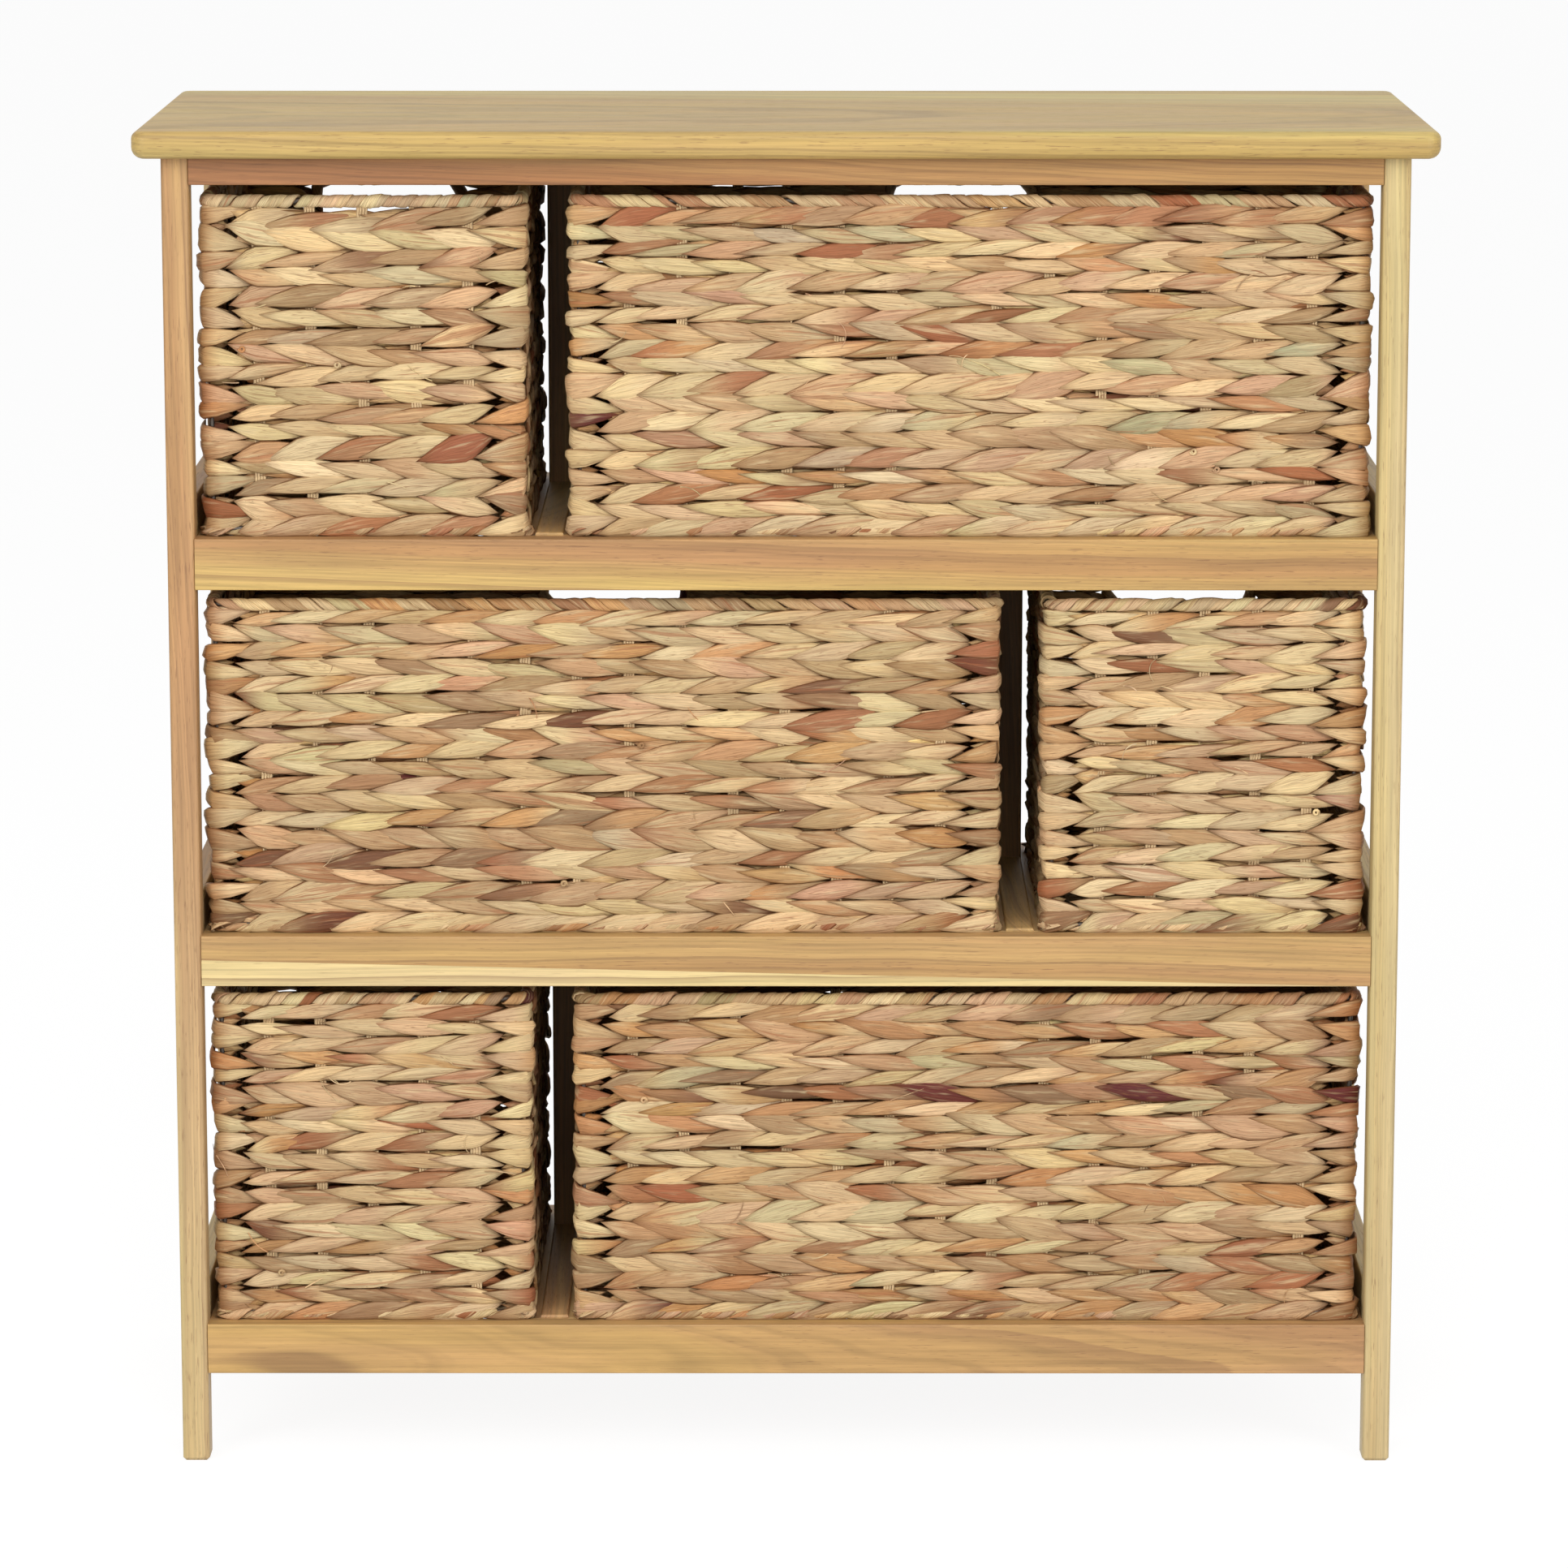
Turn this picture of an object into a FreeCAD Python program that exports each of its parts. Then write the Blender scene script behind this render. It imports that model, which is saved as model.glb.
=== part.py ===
import FreeCAD, Part
import os
from FreeCAD import Vector

os.makedirs("parts", exist_ok=True)

# Wooden drawer unit with six woven baskets, in millimetres.
# The unit stands on the floor plane, its width runs along X, and its front faces -Y.
# The origin is on the floor, under the middle of the top board.

# Whole unit
overall_width = 800
overall_depth = 330
overall_height = 845
leg_clear_height = 57.5

# Each tier holds one small and one large basket.
# The sign says on which side the small basket stands, -1 for the left.
tiers = [("lower", -1), ("middle", 1), ("upper", -1)]

# Top board
top_board_thickness = 17
top_board_side_overhang = 16.75
top_board_front_overhang = 17
top_board_rear_overhang = 5
top_board_corner_radius = 9
top_board_upper_edge_radius = 5
top_board_lower_edge_radius = 7

# Posts, whose lower ends are the feet
post_width = 17
post_depth = 21
post_edge_radius = 2.2
post_foot_chamfer = 2

# Rails across the front and the rear
rail_thickness = 16
rail_edge_radius = 1
tier_rail_height = 32
top_rail_height = 17

# Rails along the sides
side_rail_thickness = 13
side_rail_height = 45
side_rail_rise = 25

# Ledges on the side rails, and the bearer between the two baskets of a tier
ledge_width = 20
ledge_height = 16
bearer_width = 58
bearer_thickness = 16
guide_width = 17.5
guide_height = 9
guide_rise = 2
guide_nose_radius = 1.5
divider_depth = 60
divider_edge_radius = 1.5

# Baskets and their clearances in the frame
small_basket_width = 202
basket_side_gap = 4.25
basket_top_gap = 7
basket_floor_gap = 0.4
basket_front_overlap = 5
basket_rear_gap = 6
basket_wall = 8
basket_corner_radius = 12
basket_bottom_edge_radius = 4
rim_radius = 4
rim_seat_gap = 0.1
hand_hole_width = 88
hand_hole_height = 26
hand_hole_drop = 18
hand_hole_radius = 11
ring_wire_radius = 2
corner_wire_radius = 1.5
wire_gap = 0.1

# Dowels
dowel_radius = 3
dowel_radial_gap = 0.1
dowel_end_gap = 0.5
post_dowel_depth = 9
side_post_dowel_depth = 7
rail_dowel_depth = 14
bearer_dowel_depth = 8
bearer_dowel_length = 24
divider_dowel_depth = 10
dowel_pitch_share = 0.5

# Screws
screw_radius = 2
screw_head_radius = 4
screw_head_height = 2.5
screw_gap = 0.1
top_screw_bite = 10
ledge_screw_bite = 8
ledge_screw_shares = [0.12, 0.5, 0.88]
front_top_screw_shares = [0.1, 0.5, 0.9]
side_top_screw_shares = [0.5]

# Places that follow from the sizes above
front_y = top_board_front_overhang - overall_depth / 2
rear_y = overall_depth / 2 - top_board_rear_overhang
post_outer_x = overall_width / 2 - top_board_side_overhang
post_inner_x = post_outer_x - post_width
board_bottom_z = overall_height - top_board_thickness
top_rail_bottom_z = board_bottom_z - top_rail_height
bay_height = (top_rail_bottom_z - leg_clear_height) / len(tiers) - tier_rail_height
tier_pitch = bay_height + tier_rail_height
front_rail_rear_y = front_y + rail_thickness
rear_rail_front_y = rear_y - rail_thickness
front_post_rear_y = front_y + post_depth
rear_post_front_y = rear_y - post_depth
small_bay_width = small_basket_width + 2 * basket_side_gap
large_basket_width = 2 * post_inner_x - small_bay_width - guide_width - 2 * basket_side_gap
basket_front_y = front_rail_rear_y - basket_front_overlap
basket_rear_y = rear_rail_front_y - basket_rear_gap
basket_height = bay_height - basket_floor_gap - basket_top_gap
divider_front_y = rear_y - divider_depth

# Two places this close are the same place
same_place = 1e-6

pieces = {}
dowels = []
top_screws = []
ledge_screws = []


def box(low, high):
    """Block between two opposite corners."""
    size = high - low
    return Part.makeBox(size.x, size.y, size.z, low)


def edges_along(shape, direction):
    """Straight edges of a shape that run along a direction."""
    found = []
    for edge in shape.Edges:
        run = edge.Vertexes[-1].Point - edge.Vertexes[0].Point
        if run.Length > 0 and abs(run.normalize().dot(direction)) > 1 - same_place:
            found.append(edge)
    return found


def bar(low, high, direction, radius):
    """Block whose long edges, along the given direction, are rounded."""
    shape = box(low, high)
    return shape.makeFillet(radius, edges_along(shape, direction))


def level_edges(shape, height):
    """Edges of a shape that lie wholly at one height."""
    found = []
    for edge in shape.Edges:
        ends_level = all(abs(vertex.Point.z - height) < same_place for vertex in edge.Vertexes)
        if ends_level and abs(edge.CenterOfMass.z - height) < same_place:
            found.append(edge)
    return found


along_x = Vector(1, 0, 0)
along_y = Vector(0, 1, 0)
along_z = Vector(0, 0, 1)


def put_dowel(name_a, name_b, joint, direction, depth_a, depth_b):
    """Dowel through the joint face of two pieces, with a hole bored in each.

    It reaches depth_a against the direction, into piece a, and depth_b along it, into piece b.
    """
    start = joint - direction * depth_a
    length = depth_a + depth_b
    dowels.append(Part.makeCylinder(dowel_radius, length, start, direction))
    hole_start = start - direction * dowel_end_gap
    hole_length = length + 2 * dowel_end_gap
    hole = Part.makeCylinder(dowel_radius + dowel_radial_gap, hole_length, hole_start, direction)
    pieces[name_a] = pieces[name_a].cut(hole)
    pieces[name_b] = pieces[name_b].cut(hole)


def screw_solid(head, direction, length, gap):
    """Countersunk screw from the middle of its head, grown by a gap where it cuts a hole."""
    shank = Part.makeCylinder(screw_radius + gap, length + gap, head, direction)
    cone = Part.makeCone(screw_head_radius + gap, screw_radius + gap, screw_head_height, head, direction)
    return shank.fuse(cone).removeSplitter()


def put_screw(group, names, head, direction, length):
    """Screw added to a group, with its hole cut in the pieces that it passes through."""
    group.append(screw_solid(head, direction, length, 0))
    hole = screw_solid(head, direction, length, screw_gap)
    for name in names:
        pieces[name] = pieces[name].cut(hole)


def tier_bottom_z(index):
    """Height of the underside of a tier's front rail."""
    return leg_clear_height + index * tier_pitch


def dowel_heights(low, high):
    """Heights of the two dowels in the end of a rail, evenly spread about its middle."""
    middle = (low + high) / 2
    offset = (high - low) * dowel_pitch_share / 2
    return [middle - offset, middle + offset]


def make_top_board():
    """Top board with rounded plan corners and softened upper and lower edges."""
    low = Vector(-overall_width / 2, -overall_depth / 2, board_bottom_z)
    high = Vector(overall_width / 2, overall_depth / 2, overall_height)
    board = bar(low, high, along_z, top_board_corner_radius)
    board = board.makeFillet(top_board_upper_edge_radius, level_edges(board, overall_height))
    board = board.makeFillet(top_board_lower_edge_radius, level_edges(board, board_bottom_z))
    pieces["top_board"] = board


def make_posts():
    """Four posts from the floor to the board, with rounded edges and chamfered feet."""
    for side_name, side in (("left", -1), ("right", 1)):
        for end_name, start_y in (("front", front_y), ("rear", rear_post_front_y)):
            low_x = min(side * post_inner_x, side * post_outer_x)
            low = Vector(low_x, start_y, 0)
            high = Vector(low_x + post_width, start_y + post_depth, board_bottom_z)
            post = bar(low, high, along_z, post_edge_radius)
            post = post.makeChamfer(post_foot_chamfer, level_edges(post, 0))
            pieces[end_name + "_" + side_name + "_post"] = post


def make_cross_rail(name, end_name, low_z, high_z):
    """Rail between the left and right posts, flush with their outer faces."""
    start_y = front_y if end_name == "front" else rear_rail_front_y
    low = Vector(-post_inner_x, start_y, low_z)
    high = Vector(post_inner_x, start_y + rail_thickness, high_z)
    pieces[name] = bar(low, high, along_x, rail_edge_radius)


def dowel_cross_rail(name, end_name, heights):
    """Dowels from both ends of a cross rail into the posts."""
    middle_y = front_y + rail_thickness / 2 if end_name == "front" else rear_y - rail_thickness / 2
    for side_name, side in (("left", -1), ("right", 1)):
        post_name = end_name + "_" + side_name + "_post"
        for height in heights:
            joint = Vector(side * post_inner_x, middle_y, height)
            put_dowel(name, post_name, joint, along_x * side, rail_dowel_depth, post_dowel_depth)


def make_side_rail(name, side, low_z, high_z):
    """Rail between the front and rear posts of one side, flush with their inner faces."""
    inner_x = side * post_inner_x
    outer_x = side * (post_inner_x + side_rail_thickness)
    low = Vector(min(inner_x, outer_x), front_post_rear_y, low_z)
    high = Vector(max(inner_x, outer_x), rear_post_front_y, high_z)
    pieces[name] = bar(low, high, along_y, rail_edge_radius)


def dowel_side_rail(name, side_name, side, heights):
    """Dowels from both ends of a side rail into the posts of that side."""
    middle_x = side * (post_inner_x + side_rail_thickness / 2)
    ends = (("front", front_post_rear_y, -1), ("rear", rear_post_front_y, 1))
    for end_name, joint_y, sense in ends:
        post_name = end_name + "_" + side_name + "_post"
        for height in heights:
            joint = Vector(middle_x, joint_y, height)
            put_dowel(name, post_name, joint, along_y * sense, rail_dowel_depth, side_post_dowel_depth)


def make_top_rails():
    """Four rails under the board, screwed up into it."""
    middle_z = (top_rail_bottom_z + board_bottom_z) / 2
    length = top_rail_height + top_screw_bite
    for end_name in ("front", "rear"):
        name = "top_" + end_name + "_rail"
        make_cross_rail(name, end_name, top_rail_bottom_z, board_bottom_z)
        dowel_cross_rail(name, end_name, [middle_z])
        middle_y = front_y + rail_thickness / 2 if end_name == "front" else rear_y - rail_thickness / 2
        for share in front_top_screw_shares:
            head = Vector((2 * share - 1) * post_inner_x, middle_y, top_rail_bottom_z)
            put_screw(top_screws, [name, "top_board"], head, along_z, length)
    for side_name, side in (("left", -1), ("right", 1)):
        name = "top_" + side_name + "_rail"
        make_side_rail(name, side, top_rail_bottom_z, board_bottom_z)
        dowel_side_rail(name, side_name, side, [middle_z])
        middle_x = side * (post_inner_x + side_rail_thickness / 2)
        for share in side_top_screw_shares:
            place_y = front_post_rear_y + share * (rear_post_front_y - front_post_rear_y)
            head = Vector(middle_x, place_y, top_rail_bottom_z)
            put_screw(top_screws, [name, "top_board"], head, along_z, length)


def make_tier_rails(tier, index):
    """Front, rear and side rails of one tier, with the ledges on the side rails."""
    low_z = tier_bottom_z(index)
    shelf_z = low_z + tier_rail_height
    for end_name in ("front", "rear"):
        name = tier + "_" + end_name + "_rail"
        make_cross_rail(name, end_name, low_z, shelf_z)
        dowel_cross_rail(name, end_name, dowel_heights(low_z, shelf_z))
    side_top_z = shelf_z + side_rail_rise
    side_low_z = side_top_z - side_rail_height
    for side_name, side in (("left", -1), ("right", 1)):
        name = tier + "_" + side_name + "_rail"
        make_side_rail(name, side, side_low_z, side_top_z)
        dowel_side_rail(name, side_name, side, dowel_heights(shelf_z, side_top_z))
        make_ledge(tier, side_name, side, shelf_z)


def make_ledge(tier, side_name, side, shelf_z):
    """Ledge along the foot of a side rail, level with the front rail, that carries a basket's edge."""
    name = tier + "_" + side_name + "_ledge"
    wall_x = side * post_inner_x
    open_x = side * (post_inner_x - ledge_width)
    low = Vector(min(wall_x, open_x), front_rail_rear_y, shelf_z - ledge_height)
    high = Vector(max(wall_x, open_x), rear_rail_front_y, shelf_z)
    pieces[name] = bar(low, high, along_y, rail_edge_radius)
    rail_name = tier + "_" + side_name + "_rail"
    side_low_z = shelf_z + side_rail_rise - side_rail_height
    screw_z = (side_low_z + shelf_z) / 2
    length = ledge_width + ledge_screw_bite
    for share in ledge_screw_shares:
        place_y = front_rail_rear_y + share * (rear_rail_front_y - front_rail_rear_y)
        head = Vector(open_x, place_y, screw_z)
        put_screw(ledge_screws, [name, rail_name], head, along_x * side, length)


def guide_centre_x(small_side):
    """Place across the unit of the guide between a tier's two baskets."""
    return small_side * (post_inner_x - small_bay_width - guide_width / 2)


def make_centre_runner(tier, index, small_side):
    """Bearer under the meeting edges of the two baskets, with the guide strip let into it."""
    shelf_z = tier_bottom_z(index) + tier_rail_height
    centre_x = guide_centre_x(small_side)
    bearer_name = tier + "_centre_bearer"
    low = Vector(centre_x - bearer_width / 2, front_rail_rear_y, shelf_z - bearer_thickness)
    high = Vector(centre_x + bearer_width / 2, rear_rail_front_y, shelf_z)
    pieces[bearer_name] = bar(low, high, along_y, rail_edge_radius)

    low = Vector(centre_x - guide_width / 2, front_rail_rear_y, shelf_z + guide_rise - guide_height)
    high = Vector(centre_x + guide_width / 2, divider_front_y, shelf_z + guide_rise)
    strip = box(low, high)
    pieces[bearer_name] = pieces[bearer_name].cut(strip)
    nose = []
    for edge in level_edges(strip, high.z):
        if abs(edge.CenterOfMass.y - high.y) > same_place:
            nose.append(edge)
    pieces[tier + "_basket_guide"] = strip.makeFillet(guide_nose_radius, nose)

    middle_z = shelf_z - bearer_thickness / 2
    into_bearer = bearer_dowel_length - bearer_dowel_depth
    ends = (("front", front_rail_rear_y, -1), ("rear", rear_rail_front_y, 1))
    for end_name, joint_y, sense in ends:
        rail_name = tier + "_" + end_name + "_rail"
        for offset in (-1, 1):
            place_x = centre_x + offset * (guide_width + bearer_width) / 4
            joint = Vector(place_x, joint_y, middle_z)
            put_dowel(bearer_name, rail_name, joint, along_y * sense, into_bearer, bearer_dowel_depth)


def make_divider(tier, index, small_side):
    """Upright at the rear between the two baskets, from the tier's rear rail to the rail above it."""
    shelf_z = tier_bottom_z(index) + tier_rail_height
    centre_x = guide_centre_x(small_side)
    name = tier + "_rear_divider"
    low = Vector(centre_x - guide_width / 2, divider_front_y, shelf_z)
    high = Vector(centre_x + guide_width / 2, rear_y, shelf_z + bay_height)
    pieces[name] = bar(low, high, along_z, divider_edge_radius)
    above = tiers[index + 1][0] + "_rear_rail" if index + 1 < len(tiers) else "top_rear_rail"
    middle_y = rear_y - rail_thickness / 2
    foot = Vector(centre_x, middle_y, shelf_z)
    head = Vector(centre_x, middle_y, shelf_z + bay_height)
    put_dowel(tier + "_rear_rail", name, foot, along_z, divider_dowel_depth, divider_dowel_depth)
    put_dowel(name, above, head, along_z, divider_dowel_depth, divider_dowel_depth)


def ring_path(width, depth, radius, middle, height):
    """Level closed path, a rectangle with rounded corners, about a middle point."""
    half_x = width / 2
    half_y = depth / 2
    edges = []
    corners = ((1, 1), (-1, 1), (-1, -1), (1, -1))
    ends = []
    for sign_x, sign_y in corners:
        centre_x = middle.x + sign_x * (half_x - radius)
        centre_y = middle.y + sign_y * (half_y - radius)
        centre = Vector(centre_x, centre_y, height)
        side_point = centre + Vector(sign_x * radius, 0, 0)
        end_point = centre + Vector(0, sign_y * radius, 0)
        mid_point = centre + Vector(sign_x, sign_y, 0).normalize() * radius
        if sign_x == sign_y:
            ends.append((side_point, mid_point, end_point))
        else:
            ends.append((end_point, mid_point, side_point))
    for place, (start, mid, stop) in enumerate(ends):
        edges.append(Part.Arc(start, mid, stop).toShape())
        following = ends[(place + 1) % len(ends)][0]
        edges.append(Part.LineSegment(stop, following).toShape())
    return Part.Wire(edges)


def ring_solid(width, depth, corner_radius, middle, height, tube_radius):
    """Round tube carried along a level ring."""
    path = ring_path(width, depth, corner_radius, middle, height)
    first = path.OrderedVertexes[0].Point
    circle = Part.makeCircle(tube_radius, first, along_y)
    shell = path.makePipeShell([Part.Wire([circle])], True, False)
    return Part.Solid(Part.Shell(shell.Faces))


def wire_frame(width, depth, middle, floor_z, top_z, gap):
    """Rim wire, bottom wire and four corner wires of a basket, welded into one frame.

    The wires are grown by a gap where the frame cuts its channel.
    """
    ring_radius = ring_wire_radius + gap
    corner_radius = corner_wire_radius + gap
    run_width = width - basket_wall
    run_depth = depth - basket_wall
    run_radius = basket_corner_radius - basket_wall / 2
    low_z = floor_z + basket_wall / 2
    high_z = top_z - rim_radius
    frame = ring_solid(run_width, run_depth, run_radius, middle, low_z, ring_radius)
    frame = frame.fuse(ring_solid(run_width, run_depth, run_radius, middle, high_z, ring_radius))
    for sign_x in (-1, 1):
        for sign_y in (-1, 1):
            inward = Vector(sign_x, sign_y, 0).normalize() * run_radius
            foot_x = middle.x + sign_x * (run_width / 2 - run_radius) + inward.x
            foot_y = middle.y + sign_y * (run_depth / 2 - run_radius) + inward.y
            foot = Vector(foot_x, foot_y, low_z)
            frame = frame.fuse(Part.makeCylinder(corner_radius, high_z - low_z, foot, along_z))
    return frame.removeSplitter()


def make_basket(name, low_x, width, shelf_z):
    """Woven basket: wire frame, woven walls and bottom with a hand hole in the rear, and wrapped rim."""
    floor_z = shelf_z + basket_floor_gap
    top_z = floor_z + basket_height
    depth = basket_rear_y - basket_front_y
    middle = Vector(low_x + width / 2, (basket_front_y + basket_rear_y) / 2, 0)
    wall_top_z = top_z - rim_radius

    low = Vector(low_x, basket_front_y, floor_z)
    high = Vector(low_x + width, basket_rear_y, wall_top_z)
    body = bar(low, high, along_z, basket_corner_radius)
    body = body.makeFillet(basket_bottom_edge_radius, level_edges(body, floor_z))
    wall = Vector(basket_wall, basket_wall, basket_wall)
    inner_high = Vector(high.x - basket_wall, high.y - basket_wall, top_z)
    body = body.cut(bar(low + wall, inner_high, along_z, basket_corner_radius - basket_wall / 2))

    hole_top_z = top_z - hand_hole_drop
    hole_low_z = hole_top_z - hand_hole_height
    hole_low = Vector(middle.x - hand_hole_width / 2, basket_rear_y - 2 * basket_wall, hole_low_z)
    hole_high = Vector(middle.x + hand_hole_width / 2, basket_rear_y + basket_wall, hole_top_z)
    body = body.cut(bar(hole_low, hole_high, along_y, hand_hole_radius))

    run_width = width - basket_wall
    run_depth = depth - basket_wall
    run_radius = basket_corner_radius - basket_wall / 2
    rim = ring_solid(run_width, run_depth, run_radius, middle, wall_top_z, rim_radius)
    seat = ring_solid(run_width, run_depth, run_radius, middle, wall_top_z, rim_radius + rim_seat_gap)
    frame = wire_frame(width, depth, middle, floor_z, top_z, 0)
    channel = wire_frame(width, depth, middle, floor_z, top_z, wire_gap)
    pieces[name + "_woven_body"] = body.cut(seat).cut(channel)
    pieces[name + "_rim_wrap"] = rim.cut(channel)
    pieces[name + "_wire_frame"] = frame


def make_baskets(tier, index, small_side):
    """The small and the large basket of one tier."""
    shelf_z = tier_bottom_z(index) + tier_rail_height
    small_edge = small_side * (post_inner_x - basket_side_gap)
    small_low_x = small_edge if small_side < 0 else small_edge - small_basket_width
    large_edge = -small_side * (post_inner_x - basket_side_gap)
    large_low_x = large_edge if small_side > 0 else large_edge - large_basket_width
    make_basket(tier + "_small_basket", small_low_x, small_basket_width, shelf_z)
    make_basket(tier + "_large_basket", large_low_x, large_basket_width, shelf_z)


make_top_board()
make_posts()
make_top_rails()
for tier_index, (tier_name, _) in enumerate(tiers):
    make_tier_rails(tier_name, tier_index)
for tier_index, (tier_name, small_basket_side) in enumerate(tiers):
    make_centre_runner(tier_name, tier_index, small_basket_side)
    make_divider(tier_name, tier_index, small_basket_side)
    make_baskets(tier_name, tier_index, small_basket_side)
pieces["joint_dowels"] = Part.makeCompound(dowels)
pieces["top_board_screws"] = Part.makeCompound(top_screws)
pieces["ledge_screws"] = Part.makeCompound(ledge_screws)

for piece_name, piece in pieces.items():
    piece.exportStep("parts/" + piece_name + ".step")
print(len(pieces), "pieces,", len(dowels), "dowels")
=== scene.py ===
import math

import bpy
import numpy as np
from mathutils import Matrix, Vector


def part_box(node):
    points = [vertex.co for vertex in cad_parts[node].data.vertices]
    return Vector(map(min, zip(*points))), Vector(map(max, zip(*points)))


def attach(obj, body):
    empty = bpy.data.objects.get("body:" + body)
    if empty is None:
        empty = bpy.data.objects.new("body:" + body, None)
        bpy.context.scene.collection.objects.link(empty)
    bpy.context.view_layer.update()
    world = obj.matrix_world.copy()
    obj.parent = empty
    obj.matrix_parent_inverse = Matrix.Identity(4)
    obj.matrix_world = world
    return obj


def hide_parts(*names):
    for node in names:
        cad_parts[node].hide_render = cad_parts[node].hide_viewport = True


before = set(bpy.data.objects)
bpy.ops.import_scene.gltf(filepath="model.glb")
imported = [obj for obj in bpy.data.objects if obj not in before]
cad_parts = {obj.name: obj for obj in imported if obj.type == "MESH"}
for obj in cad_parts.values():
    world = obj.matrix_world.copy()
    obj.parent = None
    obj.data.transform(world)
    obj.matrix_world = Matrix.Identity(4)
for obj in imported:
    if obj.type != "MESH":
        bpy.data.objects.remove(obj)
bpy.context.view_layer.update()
scene = bpy.context.scene
print("stage: the packed frame is loaded")

# studio
studio = {
    "cameraPlace": (0.0036, -4.09, 1.172),
    "cameraTilt": 10.55,  # degrees below level
    "cameraTurn": 0.07,  # degrees to the left
    "lensLength": 147.7,
    "floorHalf": 45.0,
    "floorDrop": 0.0002,
    "floorShade": 0.84,
    "floorGlow": 0.80,  # how much of the white floor the camera sees without its shadows
    "floorWhite": 1.12,
    "skyLight": 0.42,
    "aim": (0.0, 0.0, 0.42),
    "lamps": {  # place, size, power
        "left_softbox": ((-2.3, -3.7, 2.0), 2.2, 78.0),
        "right_softbox": ((2.5, -3.6, 1.7), 2.2, 66.0),
        "front_softbox": ((0.0, -3.1, 3.3), 1.8, 44.0),
        "top_softbox": ((0.3, -0.4, 3.4), 2.0, 8.0),
    },
}


class Wire:
    # One value inside a material. Sums, differences and products of wires and numbers add math nodes.
    def __init__(self, tree, socket):
        self.tree = tree
        self.socket = socket

    def maths(self, operation, other=0.0, turned=False):
        first, second = (other, self) if turned else (self, other)
        return addNode(self.tree, "Math", settings={"operation": operation}, n0=first, n1=second)

    def __add__(self, other):
        return self.maths("ADD", other)

    def __sub__(self, other):
        return self.maths("SUBTRACT", other)

    def __rsub__(self, other):
        return self.maths("SUBTRACT", other, True)

    def __mul__(self, other):
        return self.maths("MULTIPLY", other)

    def smooth(self, fromLow, fromHigh, toLow=0.0, toHigh=1.0, kind="SMOOTHSTEP"):
        # brought from between fromLow and fromHigh to between toLow and toHigh, and held there outside
        return addNode(self.tree, "MapRange", settings={"interpolation_type": kind}, n0=self, n1=fromLow,
                       n2=fromHigh, n3=toLow, n4=toHigh)

    def linear(self, fromLow, fromHigh, toLow, toHigh):
        return self.smooth(fromLow, fromHigh, toLow, toHigh, "LINEAR")

    def parts(self, kind="XYZ"):
        # the three numbers of a place or of a colour
        node = self.tree.nodes.new("ShaderNodeSeparate" + kind)
        self.feed(node.inputs[0])
        return [Wire(self.tree, socket) for socket in node.outputs]

    def feed(self, socket):
        self.tree.links.new(self.socket, socket)


def plug(socket, value):
    # a wire is linked, anything else is set as the plain value
    if isinstance(value, Wire):
        value.feed(socket)
    else:
        socket.default_value = value


def addNode(tree, kind, output=0, settings=None, **inputs):
    # one node with its settings and inputs; an input's name has _ for each space, and n0, n1 count sockets
    node = tree.nodes.new("ShaderNode" + kind)
    for key, value in (settings or {}).items():
        setattr(node, key, value)
    for key, value in inputs.items():
        place = int(key[1:]) if key[0] == "n" and key[1:].isdigit() else key.replace("_", " ")
        plug(node.inputs[place], value)
    return Wire(tree, node.outputs[output])


def mixOf(share, first, second, blend="MIX"):
    # colour mix; share 0 gives the first colour and share 1 the second
    tree = next(value.tree for value in (share, first, second) if isinstance(value, Wire))
    return addNode(tree, "Mix", 2, {"data_type": "RGBA", "blend_type": blend}, n0=share, n6=first, n7=second)


def darkened(colour, level):
    # the colour times one level for its three parts
    grey = addNode(colour.tree, "CombineColor", Red=level, Green=level, Blue=level)
    return mixOf(1.0, colour, grey, "MULTIPLY")


def noiseOf(vector, detail=2.0, roughness=0.5, scale=1.0, distortion=0.0):
    return addNode(vector.tree, "TexNoise", Vector=vector, Scale=scale, Detail=detail, Roughness=roughness,
                   Distortion=distortion)


def shade(red, green, blue):
    # a colour as painters' charts write it, 0 to 255, brought to linear light:
    # c/12.92 below 0.04045, else ((c + 0.055)/1.055)^2.4
    parts = (part / 255 for part in (red, green, blue))
    return (*(part / 12.92 if part <= 0.04045 else ((part + 0.055) / 1.055) ** 2.4 for part in parts), 1.0)


def startMaterial(name, roughness=0.5, specular=0.5):
    material = bpy.data.materials.new(name)
    material.use_nodes = True
    tree = material.node_tree
    tree.nodes.clear()
    shader = tree.nodes.new("ShaderNodeBsdfPrincipled")
    shader.inputs["Roughness"].default_value = roughness
    shader.inputs["Specular IOR Level"].default_value = specular
    output = tree.nodes.new("ShaderNodeOutputMaterial")
    tree.links.new(shader.outputs["BSDF"], output.inputs["Surface"])
    return material, tree, shader


def endMaterial(shader, colour, rough, height, distance, strength=1.0):
    # links the colour, the roughness where it varies, and a bump of this height and distance
    plug(shader.inputs["Base Color"], colour)
    if rough:
        plug(shader.inputs["Roughness"], rough)
    bump = addNode(height.tree, "Bump", Height=height, Distance=distance, Strength=strength)
    plug(shader.inputs["Normal"], bump)


def seenDirectly(tree):
    # 1 for rays from the camera, and for those that a glossy or clear surface sends on
    path = tree.nodes.new("ShaderNodeLightPath")
    camera, glossy, clear = (Wire(tree, path.outputs["Is %s Ray" % kind])
                             for kind in ("Camera", "Glossy", "Transmission"))
    return camera.maths("MAXIMUM", glossy).maths("MAXIMUM", clear)


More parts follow.
